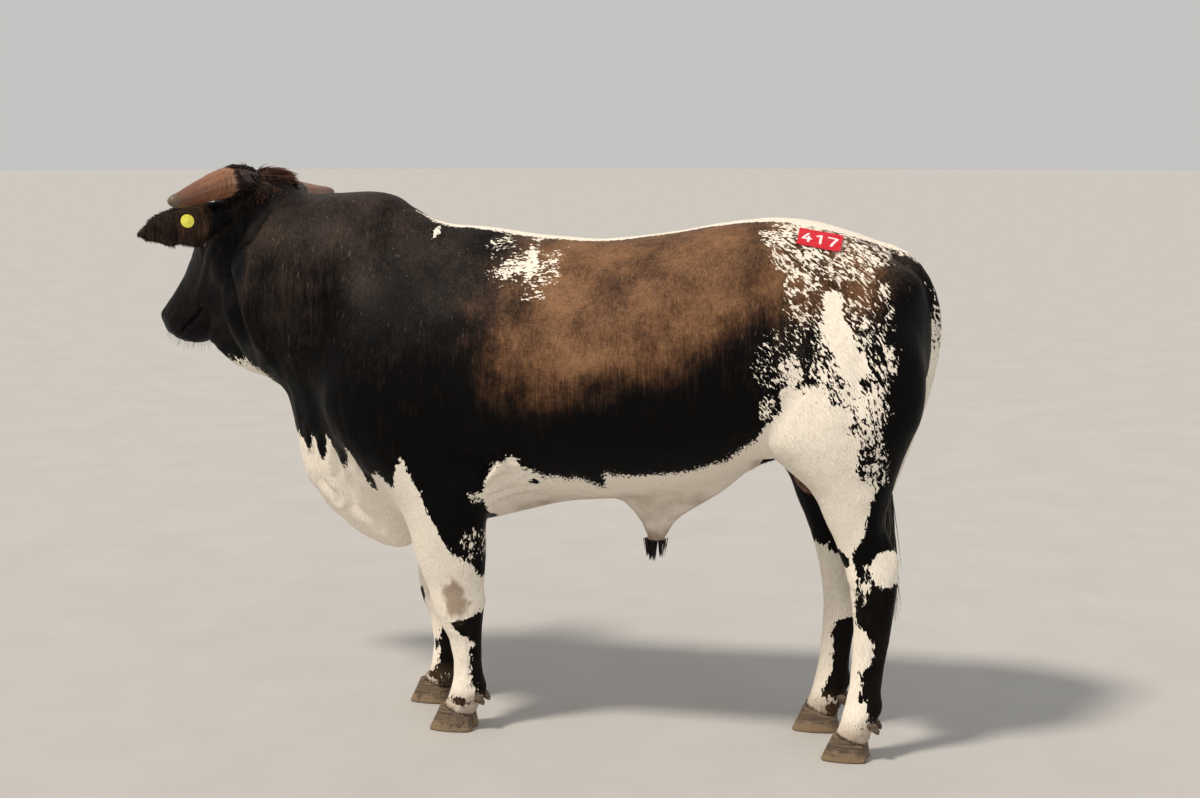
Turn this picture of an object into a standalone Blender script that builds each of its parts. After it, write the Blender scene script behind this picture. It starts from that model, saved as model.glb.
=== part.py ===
"""A horned, humped farm bull standing still, life size, as a museum model.

Metres, +Z up. The head is at -X and the tail at +X, the bull's left side is at -Y, and the soles
of all eight claws stand on z = 0. The flesh is lofted from named sections, fused and smoothed as
one body, and then parted into head, neck, dewlap, torso, sheath and legs by thin cuts. Horns,
ears, eyes, claws, dewclaws, tail, scrotum and tags are closed solids of their own.
"""

import math
import random

import bmesh
import bpy
import numpy as np
from mathutils import Matrix, Vector

# Driving sizes
GAP = 0.0003            # clearance between touching pieces
FLESH_VOXEL = 0.011     # fusing size of the body
HEAD_VOXEL = 0.0055     # fusing size of the head
BODY_FACES = 4900       # triangles of the fused body before it is parted
HEAD_FACES = 2300       # triangles of the fused head before it is parted
RING = 28               # points round a lofted section

X, Y, Z = Vector((1, 0, 0)), Vector((0, 1, 0)), Vector((0, 0, 1))

# Torso: station along the spine, back line, belly line, half width, level of the widest point,
# and how peaked (over 1) or boxy (under 1) the section is above and below that level
TORSO = (
    (-0.96, 1.470, 0.800, 0.130, 1.10, 1.2, 1.2),
    (-0.88, 1.470, 0.660, 0.220, 1.03, 1.3, 1.2),
    (-0.78, 1.452, 0.585, 0.275, 0.99, 1.5, 1.1),
    (-0.68, 1.430, 0.560, 0.300, 0.98, 1.6, 1.0),
    (-0.57, 1.418, 0.560, 0.305, 0.97, 1.5, 0.95),
    (-0.45, 1.408, 0.578, 0.308, 0.96, 1.2, 0.9),
    (-0.30, 1.386, 0.617, 0.325, 0.95, 1.0, 0.9),
    (-0.12, 1.377, 0.650, 0.345, 0.95, 0.9, 0.95),
    (0.05, 1.398, 0.672, 0.345, 0.97, 0.85, 1.0),
    (0.20, 1.424, 0.710, 0.325, 1.00, 0.8, 1.0),
    (0.33, 1.441, 0.765, 0.300, 1.05, 0.75, 1.0),
    (0.45, 1.433, 0.800, 0.280, 1.08, 0.8, 1.0),
    (0.57, 1.402, 0.830, 0.255, 1.10, 0.85, 1.1),
    (0.66, 1.365, 0.870, 0.215, 1.11, 0.85, 1.1),
    (0.730, 1.305, 0.930, 0.170, 1.12, 0.9, 1.0),
    (0.762, 1.250, 1.000, 0.115, 1.12, 1.0, 1.0),
    (0.776, 1.190, 1.060, 0.060, 1.12, 1.0, 1.0),
)
# Neck: centre along and up, half height, half width, lean back of the section, shift to the right
NECK = (
    (-0.76, 1.150, 0.345, 0.190, 0, 0.000),
    (-0.88, 1.175, 0.325, 0.215, 6, 0.000),
    (-0.98, 1.200, 0.305, 0.215, 10, 0.005),
    (-1.06, 1.230, 0.278, 0.200, 14, 0.018),
    (-1.13, 1.262, 0.240, 0.175, 18, 0.040),
    (-1.18, 1.285, 0.190, 0.140, 22, 0.060),
)
# Hump over the shoulders: station, top, bottom, half width
HUMP = (
    (-0.99, 1.470, 1.350, 0.05),
    (-0.92, 1.494, 1.250, 0.10),
    (-0.84, 1.504, 1.200, 0.13),
    (-0.77, 1.500, 1.200, 0.14),
    (-0.70, 1.466, 1.200, 0.13),
    (-0.63, 1.430, 1.250, 0.10),
    (-0.57, 1.410, 1.350, 0.05),
)
# Brisket, from above down: level, centre along, half length, half width
BRISKET = (
    (1.080, -0.905, 0.150, 0.140),
    (0.980, -0.880, 0.182, 0.155),
    (0.880, -0.866, 0.192, 0.152),
    (0.780, -0.852, 0.192, 0.140),
    (0.690, -0.832, 0.192, 0.120),
    (0.610, -0.805, 0.165, 0.095),
    (0.545, -0.780, 0.122, 0.068),
    (0.500, -0.755, 0.075, 0.043),
    (0.478, -0.740, 0.032, 0.020),
)
# Throat fold in front of the brisket: level, centre along, half length, half thickness, shift right
THROAT = (
    (1.210, -1.130, 0.130, 0.075, 0.045),
    (1.130, -1.170, 0.165, 0.058, 0.055),
    (1.060, -1.178, 0.168, 0.046, 0.052),
    (0.995, -1.150, 0.150, 0.038, 0.042),
    (0.952, -1.105, 0.102, 0.028, 0.030),
)
# Front leg, from the shoulder down: level, centre along, half length, centre across, half width
FRONT_LEG = (
    (1.180, -0.690, 0.110, 0.190, 0.070),
    (1.080, -0.690, 0.165, 0.205, 0.090),
    (0.960, -0.680, 0.195, 0.215, 0.098),
    (0.860, -0.655, 0.205, 0.215, 0.102),
    (0.780, -0.615, 0.185, 0.208, 0.100),
    (0.700, -0.562, 0.152, 0.198, 0.094),
    (0.600, -0.533, 0.117, 0.182, 0.084),
    (0.475, -0.522, 0.098, 0.165, 0.070),
    (0.405, -0.514, 0.082, 0.156, 0.061),
    (0.350, -0.507, 0.071, 0.150, 0.060),
    (0.300, -0.500, 0.062, 0.147, 0.056),
    (0.258, -0.491, 0.048, 0.144, 0.045),
    (0.190, -0.485, 0.042, 0.142, 0.040),
    (0.145, -0.484, 0.045, 0.140, 0.044),
    (0.105, -0.487, 0.051, 0.140, 0.051),
    (0.070, -0.503, 0.052, 0.140, 0.050),
    (0.030, -0.525, 0.054, 0.140, 0.052),
)
# Hind leg, from the hip down, in the same order
HIND_LEG = (
    (1.260, 0.520, 0.130, 0.120, 0.080),
    (1.180, 0.545, 0.190, 0.145, 0.105),
    (1.070, 0.560, 0.220, 0.158, 0.122),
    (0.950, 0.560, 0.222, 0.168, 0.125),
    (0.860, 0.550, 0.195, 0.170, 0.115),
    (0.790, 0.560, 0.158, 0.166, 0.100),
    (0.725, 0.588, 0.112, 0.160, 0.084),
    (0.650, 0.602, 0.089, 0.156, 0.068),
    (0.580, 0.625, 0.080, 0.152, 0.054),
    (0.525, 0.640, 0.078, 0.150, 0.051),
    (0.465, 0.647, 0.066, 0.148, 0.054),
    (0.400, 0.648, 0.057, 0.145, 0.046),
    (0.340, 0.645, 0.052, 0.143, 0.038),
    (0.235, 0.633, 0.046, 0.140, 0.035),
    (0.175, 0.626, 0.047, 0.140, 0.039),
    (0.130, 0.621, 0.052, 0.140, 0.048),
    (0.085, 0.606, 0.051, 0.140, 0.047),
    (0.030, 0.582, 0.054, 0.140, 0.050),
)
# Sheath under the navel: level, centre along, half length, half width
SHEATH = (
    (0.760, 0.080, 0.230, 0.080),
    (0.690, 0.060, 0.170, 0.065),
    (0.640, 0.040, 0.110, 0.052),
    (0.600, 0.028, 0.060, 0.042),
    (0.565, 0.024, 0.038, 0.034),
    (0.540, 0.022, 0.030, 0.028),
)
# Horn: out from the poll, forward, rise and radius of the left one, and of the right one
HORN = (
    (0.060, 0.000, -0.006, 0.0440, -0.034, 0.0360),
    (0.100, 0.003, -0.001, 0.0455, -0.037, 0.0365),
    (0.160, 0.014, -0.007, 0.0435, -0.043, 0.0350),
    (0.230, 0.028, -0.028, 0.0340, -0.048, 0.0290),
    (0.290, 0.041, -0.047, 0.0240, -0.047, 0.0210),
    (0.318, 0.047, -0.051, 0.0170, -0.046, 0.0150),
    (0.330, 0.050, -0.052, 0.0070, -0.046, 0.0060),
)
# Ear: share of its length, reach above the middle line, reach below it, depth of the cup
EAR_LENGTHS = {1: 0.315, -1: 0.3130}    # left, right: from the root's middle to the tip
EAR_DROOPS = {1: math.radians(13.5), -1: math.radians(18)}
EAR_LEVELS = {1: -0.045, -1: -0.085}    # the head is carried with its right side lower
EAR_THICK = 0.0055
EAR_SHAPE = (
    (0.00, 0.026, 0.028, 0.012),
    (0.12, 0.034, 0.044, 0.018),
    (0.30, 0.046, 0.066, 0.022),
    (0.48, 0.048, 0.078, 0.020),
    (0.60, 0.046, 0.062, 0.016),
    (0.68, 0.043, 0.068, 0.014),
    (0.78, 0.036, 0.046, 0.010),
    (0.88, 0.027, 0.036, 0.007),
    (0.96, 0.015, 0.014, 0.003),
    (1.00, 0.005, 0.005, 0.000),
)
# Tail: x, y, z, radius
TAIL = (
    (0.620, 0.000, 1.350, 0.036),
    (0.690, 0.000, 1.322, 0.034),
    (0.738, 0.000, 1.270, 0.031),
    (0.766, 0.000, 1.200, 0.028),
    (0.774, 0.000, 1.120, 0.024),
    (0.763, 0.000, 1.030, 0.021),
    (0.739, 0.000, 0.930, 0.019),
    (0.708, 0.002, 0.835, 0.017),
    (0.674, 0.006, 0.740, 0.016),
    (0.648, 0.010, 0.660, 0.015),
    (0.640, 0.012, 0.600, 0.013),
)
EYE = 0.0205            # radius of an eyeball
CORONET_TOE = 0.074     # height of the hoof's top edge over the toe
CORONET_HEEL = 0.042
ELBOW_CUT = (           # region of a fore leg, as (across, up) points
    (0.010, -0.200), (0.010, 0.460), (0.060, 0.474), (0.078, 0.520), (0.105, 0.600),
    (0.105, 0.740), (0.500, 0.740), (0.500, -0.200),
)
NECK_CUT = (-0.963, 0.205, -0.174)      # the head's side of the cut behind the cheeks
# Head: along the face from the horns, height of the face line, depth of the jaw line, half width,
# level of the widest point, peak of the crown, peak of the jaw
HEAD = (
    (-0.050, -0.005, -0.080, 0.060, -0.03, 1.0, 1.0),
    (-0.020, 0.020, -0.140, 0.088, -0.03, 0.8, 1.0),
    (0.030, 0.038, -0.190, 0.104, -0.03, 0.7, 1.1),
    (0.090, 0.057, -0.225, 0.118, -0.04, 0.60, 1.3),
    (0.155, 0.065, -0.242, 0.125, -0.05, 0.60, 1.5),
    (0.215, 0.064, -0.238, 0.121, -0.06, 0.62, 1.5),
    (0.275, 0.056, -0.214, 0.106, -0.07, 0.70, 1.4),
    (0.340, 0.042, -0.186, 0.087, -0.07, 0.85, 1.2),
    (0.405, 0.028, -0.167, 0.076, -0.07, 0.9, 1.0),
    (0.465, 0.017, -0.158, 0.074, -0.065, 0.85, 0.9),
    (0.512, 0.010, -0.156, 0.079, -0.063, 0.8, 0.9),
    (0.552, -0.003, -0.142, 0.077, -0.063, 0.8, 0.9),
    (0.584, -0.030, -0.108, 0.054, -0.066, 0.9, 0.9),
)

POLL = Vector((-1.142, 0.030, 1.524))   # midway between the horns
HEAD_TURN = math.radians(21)            # the head looks away to the bull's right
HEAD_DROOP = math.radians(44.5)         # the face hangs this far below level
FAR_FRONT_STEP = -0.150                 # the right fore foot stands this far ahead
FAR_HIND_STEP = -0.122                  # the right hind foot stands this far ahead

HEADING = Vector((-math.cos(HEAD_TURN), math.sin(HEAD_TURN), 0))
LEFT = Z.cross(HEADING)
FACE = (HEADING * math.cos(HEAD_DROOP) - Z * math.sin(HEAD_DROOP)).normalized()
CROWN = (HEADING * math.sin(HEAD_DROOP) + Z * math.cos(HEAD_DROOP)).normalized()


def head_point(along, left, height):
    """A point of the head: along the face from the horns, to the left, and above the face line."""
    return POLL + FACE * along + LEFT * left + CROWN * height


def ear_line(side, out):
    """A point on the middle line of an ear, out from its root."""
    sweep, droop = math.radians(25), EAR_DROOPS[side]
    away = LEFT * side * math.cos(sweep) + HEADING * math.sin(sweep)
    root = head_point(0.062, side * 0.098, EAR_LEVELS[side])
    return root + (away * math.cos(droop) - Z * math.sin(droop)) * out


def material(name, colour, roughness=0.7):
    made = bpy.data.materials.get(name) or bpy.data.materials.new(name)
    made.use_nodes = True
    shader = made.node_tree.nodes["Principled BSDF"]
    shader.inputs["Base Color"].default_value = (*colour, 1)
    shader.inputs["Roughness"].default_value = roughness
    shader.inputs["Metallic"].default_value = 0
    return made


def clear_scene():
    for old in list(bpy.data.objects):
        bpy.data.objects.remove(old)


def collection(name):
    made = bpy.data.collections.new(name)
    bpy.context.scene.collection.children.link(made)
    return made


def add(name, bm, home):
    mesh = bpy.data.meshes.new(name)
    bm.to_mesh(mesh)
    bm.free()
    made = bpy.data.objects.new(name, mesh)
    home.objects.link(made)
    return made


def remove(*objects):
    for old in objects:
        bpy.data.objects.remove(old)


def resampled(stations, per_span=3):
    """Catmull-Rom rows through the stations, per_span rows to each span."""
    rows = np.array(stations, float)
    padded = np.vstack([2 * rows[0] - rows[1], rows, 2 * rows[-1] - rows[-2]])
    fine = []
    for i in range(len(rows) - 1):
        before, start, end, after = padded[i:i + 4]
        for step in range(per_span):
            t = step / per_span
            fine.append(0.5 * (2 * start + (end - before) * t
                               + (2 * before - 5 * start + 4 * end - after) * t * t
                               + (3 * start - 3 * end + after - before) * t ** 3))
    return fine + [rows[-1]]


def section(centre, side, rise, half, above, below, crown=1.0, keel=1.0, count=RING):
    """One closed ring: half wide, above and below its widest level."""
    ring = []
    for k in range(count):
        turn = 2 * math.pi * k / count
        across, up = math.cos(turn), math.sin(turn)
        reach, power = (above, crown) if up > 0 else (below, keel)
        ring.append(centre + side * (half * math.copysign(abs(across) ** power, across))
                    + rise * (reach * up))
    return ring


def loft(name, rings, home):
    """A closed solid through rings of the same number of points."""
    bm = bmesh.new()
    loops = [[bm.verts.new(point) for point in ring] for ring in rings]
    count = len(rings[0])
    for one, two in zip(loops, loops[1:]):
        for k in range(count):
            after = (k + 1) % count
            bm.faces.new((one[k], one[after], two[after], two[k]))
    bm.faces.new(loops[0][::-1])
    bm.faces.new(loops[-1])
    bmesh.ops.recalc_face_normals(bm, faces=bm.faces)
    return add(name, bm, home)


def ball(name, centre, radii, home, turn=None, rings=12):
    """An ellipsoid, turned by a rotation matrix where one is given."""
    bm = bmesh.new()
    bmesh.ops.create_uvsphere(bm, u_segments=rings * 2, v_segments=rings, radius=1)
    place = Matrix.Translation(centre) @ (turn or Matrix.Identity(4)) @ Matrix.Diagonal((*radii, 1))
    bmesh.ops.transform(bm, matrix=place, verts=bm.verts)
    return add(name, bm, home)


def frame(along, up):
    """A rotation whose Z axis is along and whose Y axis leans to up."""
    forward = along.normalized()
    right = up.cross(forward).normalized()
    return Matrix((right, forward.cross(right), forward)).transposed().to_4x4()


def torso_loft(home, table=TORSO):
    rings = []
    for x, back, belly, half, widest, crown, keel in resampled(table):
        rings.append(section(Vector((x, 0, widest)), Y, Z, half, back - widest, widest - belly,
                             crown, keel))
    return loft("torso_form", rings, home)


def neck_loft(home):
    rings = []
    for x, z, tall, half, lean, shift in resampled(NECK):
        lean = math.radians(lean)
        rise = X * math.sin(lean) + Z * math.cos(lean)
        turn = HEAD_TURN * min(1, max(0, (-0.9 - x) / 0.3)) * 0.7
        side = Y * math.cos(turn) + X * math.sin(turn)
        rings.append(section(Vector((x, shift, z)), side, rise, half, tall, tall, 1.0, 1.0))
    return loft("neck_form", rings, home)


def hump_loft(home):
    rings = []
    for x, top, bottom, half in resampled(HUMP):
        middle = (top + bottom) / 2
        rings.append(section(Vector((x, 0, middle)), Y, Z, half, top - middle, middle - bottom, 1.1))
    return loft("hump_form", rings, home)


def fold_loft(name, table, home, shift_column=None):
    """A hanging fold from flat sections, given from above down."""
    rings = []
    for row in resampled(table):
        z, x, length, half = row[:4]
        shift = row[shift_column] if shift_column else 0
        rings.append(section(Vector((x, shift, z)), Y, X, half, length, length))
    return loft(name, rings, home)


def leg_loft(name, table, side, step, step_top, step_span, inset, home):
    """A leg from its table: side is -1 on the left, and step moves the foot along the ground."""
    rings = []
    for z, x, length, across, half in resampled(table):
        share = min(1, max(0, (step_top - z) / step_span))
        share = share * share * (3 - 2 * share)
        middle = Vector((x + step * share, side * across + inset * share, z))
        rings.append(section(middle, Y, X, half, length, length))
    return loft(name, rings, home)


def head_lofts(home):
    """The skull and jaws in one loft, with the brows, cheeks, muzzle and chin laid on it."""
    rings = []
    for along, top, bottom, half, widest, crown, keel in resampled(HEAD):
        centre = head_point(along, 0, widest)
        rings.append(section(centre, LEFT, CROWN, half, top - widest, widest - bottom, crown, keel))
    pieces = [loft("skull_form", rings, home)]
    turn = frame(FACE, CROWN)
    swells = (
        ("poll_form", -0.005, 0.000, 0.010, (0.078, 0.028, 0.042)),
        ("muzzle_form", 0.525, 0.000, -0.060, (0.080, 0.052, 0.046)),
        ("chin_form", 0.485, 0.000, -0.139, (0.048, 0.026, 0.050)),
        ("brow_form", 0.190, 0.108, 0.002, (0.036, 0.028, 0.062)),
        ("socket_form", 0.216, 0.098, -0.046, (0.034, 0.040, 0.050)),
        ("cheek_form", 0.205, 0.070, -0.150, (0.040, 0.084, 0.092)),
        ("horn_seat", 0.006, 0.080, 0.000, (0.044, 0.042, 0.046)),
        ("nostril_rim", 0.545, 0.046, -0.036, (0.030, 0.030, 0.026)),
    )
    for name, along, left, height, radii in swells:
        for side in (1, -1) if left else (1,):
            centre = head_point(along, side * left, height)
            pieces.append(ball(name, centre, radii, home, turn))
    for side in (1, -1):
        stub = []
        for out in (0, 0.5, 1):
            centre = ear_line(side, out * 0.045)
            stub.append(section(centre, FACE, CROWN, 0.036 - 0.008 * out, 0.036 - 0.006 * out,
                                0.036 - 0.006 * out))
        pieces.append(loft("ear_stub", stub, home))
    return pieces


def joined(name, pieces, home):
    """The pieces' meshes laid together in one object, still crossing each other."""
    bm = bmesh.new()
    for piece in pieces:
        copy = piece.data.copy()
        copy.transform(piece.matrix_world)
        bm.from_mesh(copy)
        bpy.data.meshes.remove(copy)
    bmesh.ops.triangulate(bm, faces=bm.faces)
    return add(name, bm, home)


def apply_modifiers(target):
    graph = bpy.context.evaluated_depsgraph_get()
    mesh = bpy.data.meshes.new_from_object(target.evaluated_get(graph))
    target.modifiers.clear()
    old = target.data
    target.data = mesh
    bpy.data.meshes.remove(old)


def fused(target, voxel):
    """One closed skin over everything in target."""
    remesh = target.modifiers.new("fuse", "REMESH")
    remesh.mode = "VOXEL"
    remesh.voxel_size = voxel
    apply_modifiers(target)


def relax(target, rounds, weight):
    """Smooths target; weight gives each vertex's share of every round, from its position."""
    mesh = target.data
    points = np.empty(len(mesh.vertices) * 3)
    mesh.vertices.foreach_get("co", points)
    points = points.reshape(-1, 3)
    edges = np.empty(len(mesh.edges) * 2, int)
    mesh.edges.foreach_get("vertices", edges)
    one, two = edges.reshape(-1, 2).T
    valence = np.bincount(edges, minlength=len(points))[:, None]
    share = np.clip(weight(points), 0, 1)[:, None]
    for _ in range(rounds):
        total = np.zeros_like(points)
        for axis in range(3):
            total[:, axis] = (np.bincount(one, points[two, axis], len(points))
                              + np.bincount(two, points[one, axis], len(points)))
        points = points + share * 0.6 * (total / valence - points)
    mesh.vertices.foreach_set("co", points.ravel())
    mesh.update()


def thinned(target, faces):
    triangles = sum(len(face.vertices) - 2 for face in target.data.polygons)
    thin = target.modifiers.new("thin", "DECIMATE")
    thin.ratio = min(1, faces / triangles)
    thin.use_collapse_triangulate = True
    apply_modifiers(target)


def block(name, low, high, home, turn=None, pivot=None):
    """A box between two corners, turned about pivot."""
    bm = bmesh.new()
    bmesh.ops.create_cube(bm, size=1)
    low, high = Vector(low), Vector(high)
    centre = (low + high) / 2
    place = Matrix.Translation(centre) @ Matrix.Diagonal((*(high - low), 1))
    if turn is not None:
        pivot = Vector(pivot)
        place = Matrix.Translation(pivot) @ turn @ Matrix.Translation(-pivot) @ place
    bmesh.ops.transform(bm, matrix=place, verts=bm.verts)
    return add(name, bm, home)


def prism(name, outline, low, high, home):
    """An outline of (y, z) points drawn out along X."""
    rings = [[Vector((x, y, z)) for y, z in outline] for x in (low, high)]
    return loft(name, rings, home)


def ahead_of(name, point, normal, home, size=3.0):
    """A big block filling the side of a plane that its normal points to."""
    turn = frame(Vector(normal), Z if abs(Vector(normal).normalized().z) < 0.9 else X)
    bm = bmesh.new()
    bmesh.ops.create_cube(bm, size=size)
    bmesh.ops.translate(bm, verts=bm.verts, vec=(0, 0, size / 2))
    bmesh.ops.transform(bm, matrix=Matrix.Translation(Vector(point)) @ turn, verts=bm.verts)
    return add(name, bm, home)


def boolean(target, other, operation, solver="EXACT"):
    cut = target.modifiers.new("cut", "BOOLEAN")
    cut.operation = operation
    cut.solver = solver
    cut.object = other
    apply_modifiers(target)


def largest_only(target):
    """Keeps the largest closed surface of target and drops scraps."""
    bm = bmesh.new()
    bm.from_mesh(target.data)
    bmesh.ops.remove_doubles(bm, verts=bm.verts, dist=0.00002)
    bmesh.ops.dissolve_degenerate(bm, edges=bm.edges, dist=0.00001)
    left, islands = set(bm.verts), []
    while left:
        stack, island = [left.pop()], set()
        while stack:
            vertex = stack.pop()
            island.add(vertex)
            for edge in vertex.link_edges:
                other = edge.other_vert(vertex)
                if other in left:
                    left.remove(other)
                    stack.append(other)
        islands.append(island)
    keep = max(islands, key=len)
    bmesh.ops.delete(bm, geom=[v for v in bm.verts if v not in keep], context="VERTS")
    bmesh.ops.triangulate(bm, faces=bm.faces)
    bm.to_mesh(target.data)
    bm.free()


def duplicate(source, name, home):
    made = bpy.data.objects.new(name, source.data.copy())
    made.matrix_world = source.matrix_world.copy()
    home.objects.link(made)
    return made


def swollen(source, home, by=GAP):
    """A copy of source with its surface moved out, to cut a neighbour clear of it."""
    made = duplicate(source, source.name + "_swollen", home)
    bm = bmesh.new()
    bm.from_mesh(made.data)
    bm.normal_update()
    moves = [vertex.normal.copy() * by for vertex in bm.verts]
    for vertex, move in zip(bm.verts, moves):
        vertex.co += move
    bm.to_mesh(made.data)
    bm.free()
    return made


def trimmed(piece, neighbours, home, by=GAP):
    """Cuts piece clear of each neighbour by the gap."""
    for neighbour in neighbours:
        cutter = swollen(neighbour, home, by)
        boolean(piece, cutter, "DIFFERENCE")
        remove(cutter)
    largest_only(piece)


def swollen_block(region, home):
    """A copy of a block with every face moved out by the gap."""
    made = duplicate(region, region.name + "_wider", home)
    bm = bmesh.new()
    bm.from_mesh(made.data)
    bm.normal_update()
    moves = {}
    for face in bm.faces:
        for vertex in face.verts:
            moves[vertex] = moves.get(vertex, Vector()) + face.normal * GAP
    for vertex, move in moves.items():
        vertex.co += move
    bm.to_mesh(made.data)
    bm.free()
    return made


def split(source, name, region, home, cutters):
    """Moves the part of source inside region to a node of its own, with the gap between them."""
    part = duplicate(source, name, home)
    boolean(part, region, "INTERSECT")
    largest_only(part)
    wider = swollen_block(region, cutters)
    boolean(source, wider, "DIFFERENCE")
    largest_only(source)
    remove(wider, region)
    return part


def body_flesh(home):
    """Everything that the coat covers behind the head, fused into one skin."""
    pieces = [torso_loft(home), neck_loft(home), hump_loft(home),
              fold_loft("brisket_form", BRISKET, home),
              fold_loft("throat_form", THROAT, home, shift_column=4),
              fold_loft("sheath_form", SHEATH, home)]
    for side, front, hind, inset in ((-1, 0, 0, 0), (1, FAR_FRONT_STEP, FAR_HIND_STEP, -0.025)):
        pieces.append(leg_loft("front_form", FRONT_LEG, side, front, 1.0, 0.75, inset, home))
        pieces.append(leg_loft("hind_form", HIND_LEG, side, hind, 1.15, 0.5, inset, home))
        hip = Vector((0.355, side * 0.188, 1.330))
        pieces.append(ball("hook_form", hip, (0.095, 0.042, 0.060), home))
        pin = Vector((0.715, side * 0.085, 1.255))
        pieces.append(ball("pin_form", pin, (0.052, 0.045, 0.060), home))
    return pieces


def flesh_weight(points):
    """The trunk is smoothed fully, and the legs below the elbow and the stifle only a little."""
    return np.interp(points[:, 2], (0.25, 0.50, 0.72), (0.10, 0.16, 1.0))


def head_weight(points):
    """The face keeps its forms, and the back of the head runs smoothly into the neck."""
    along = (points - np.array(POLL)) @ np.array(FACE)
    return np.interp(along, (0.05, 0.30, 0.45), (1.0, 0.8, 0.35))


def tube(name, path, radii, home, count=12, side=Y):
    """A round solid along a path, with one radius for each point."""
    rings = []
    for i, point in enumerate(path):
        ahead = path[min(i + 1, len(path) - 1)] - path[max(i - 1, 0)]
        turn = frame(ahead, side).to_3x3()
        rings.append([point + turn @ Vector((radii[i] * math.cos(2 * math.pi * k / count),
                                             radii[i] * math.sin(2 * math.pi * k / count), 0))
                      for k in range(count)])
    return loft(name, rings, home)


def curve_points(stations, per_span=3):
    """A smooth path with radii from rows of x, y, z, radius."""
    rows = resampled(stations, per_span)
    return [Vector(row[:3]) for row in rows], [row[3] for row in rows]


def lock(root, away, length, width, flat, home, curl=None):
    """A flat tapered lock of hair; curl is how far its tip is drawn aside."""
    away = away.normalized()
    flat = (flat - away * flat.dot(away)).normalized()
    across = away.cross(flat)
    curl = curl or Vector()
    rings = []
    for t, wide, thick in ((0, 0.75, 0.55), (0.3, 1.0, 0.6), (0.65, 0.75, 0.42), (0.92, 0.3, 0.2)):
        centre = root + away * (length * t) + curl * (t * t)
        half, depth = width * wide / 2, width * thick / 2
        rings.append([centre + across * half, centre + flat * depth, centre - across * half,
                      centre - flat * depth])
    return loft("lock", rings, home)


def grow(target, locks):
    """Fuses locks into the node that they are rooted in."""
    tuft = bpy.data.collections.new("tuft")
    bpy.context.scene.collection.children.link(tuft)
    for piece in locks:
        for home in list(piece.users_collection):
            home.objects.unlink(piece)
        tuft.objects.link(piece)
    before = target.data.copy()
    for solver in ("MANIFOLD", "EXACT"):
        join = target.modifiers.new("grow", "BOOLEAN")
        join.operation = "UNION"
        join.solver = solver
        join.operand_type = "COLLECTION"
        join.collection = tuft
        apply_modifiers(target)
        if len(target.data.vertices) > len(before.vertices):
            break
        target.data = before.copy()
    remove(*tuft.objects)
    bpy.data.collections.remove(tuft)
    largest_only(target)


def horn(name, side, home):
    """A short, blunt horn that leaves the poll sideways and droops forward."""
    rows = []
    for left, forward, *shape in HORN:
        rise, radius = shape[:2] if side > 0 else shape[2:]
        point = POLL + LEFT * (side * left) + HEADING * forward + Z * rise
        rows.append((*point, radius))
    path, radii = curve_points(rows, 2)
    return tube(name, path, radii, home, 12, Z)


def ear_hollow(side):
    """The way that an ear's cup faces, square to its length."""
    away = (ear_line(side, 0.2) - ear_line(side, 0.1)).normalized()
    faces = HEADING * 0.80 - Z * 0.25
    return (faces - away * faces.dot(away)).normalized()


def ear(name, side, home):
    """A cupped leaf with its hollow turned forward and down."""
    rings = []
    root, tip = ear_line(side, 0.030), ear_line(side, EAR_LENGTHS[side])
    hollow = ear_hollow(side)
    rise = (tip - root).normalized().cross(hollow) * -side
    for t, upper, lower, cup in resampled(EAR_SHAPE, 2):
        centre = root + (tip - root) * t
        outer, inner = [], []
        for k in range(7):
            u = k / 3 - 1
            reach = upper if u > 0 else lower
            bend = hollow * (cup * (u * u - 0.4))
            outer.append(centre + rise * (reach * u) + bend - hollow * EAR_THICK / 2)
            inner.append(centre + rise * (reach * u * 0.97) + bend + hollow * EAR_THICK / 2)
        rings.append(outer + inner[::-1])
    return loft(name, rings, home)


def claw(name, foot, side, home):
    """One toe: foot is the middle of the sole of both claws, side is -1 for the left claw."""
    rings = []
    for share in (0, 0.03, 0.35, 0.70, 1.0):
        inset = 0.003 if share == 0 else 0
        toe = -0.070 + 0.034 * share + inset
        heel = 0.060 - 0.008 * share - inset
        wide = 0.054 - 0.005 * share - inset
        ring = []
        for k in range(14):
            turn = 2 * math.pi * k / 14
            x = (toe + heel) / 2 - (heel - toe) / 2 * math.cos(turn)
            lean = 1 - (x - toe) / (heel - toe)
            y = 0.5 * wide + 0.5 * wide * math.copysign(abs(math.sin(turn)) ** 0.7, math.sin(turn))
            if math.sin(turn) < 0:
                y = 0.006 * (1 - abs(math.sin(turn)) ** 0.5)
            height = (CORONET_HEEL + (CORONET_TOE - CORONET_HEEL) * lean) * share
            ring.append(foot + Vector((x, side * (GAP + 0.0022 + y), height)))
        rings.append(ring)
    return loft(name, rings, home)


def mouth_cutter(home):
    """A thin slit that follows the lips, open to the front and closed inside."""
    turn = frame(FACE, CROWN)
    slab = block("slab", (-0.12, -0.0022, 0.0), (0.12, 0.0022, 0.20), home)
    slab.data.transform(Matrix.Translation(head_point(0.435, 0, -0.108)) @ turn)
    rings = []
    for along, top, bottom, half, widest, crown, keel in resampled(HEAD):
        centre = head_point(along - 0.012, 0, widest)
        rings.append(section(centre, LEFT, CROWN, half - 0.010, top - widest, widest - bottom,
                             crown, keel))
    core = loft("core", rings, home)
    boolean(slab, core, "DIFFERENCE")
    remove(core)
    return slab


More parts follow.
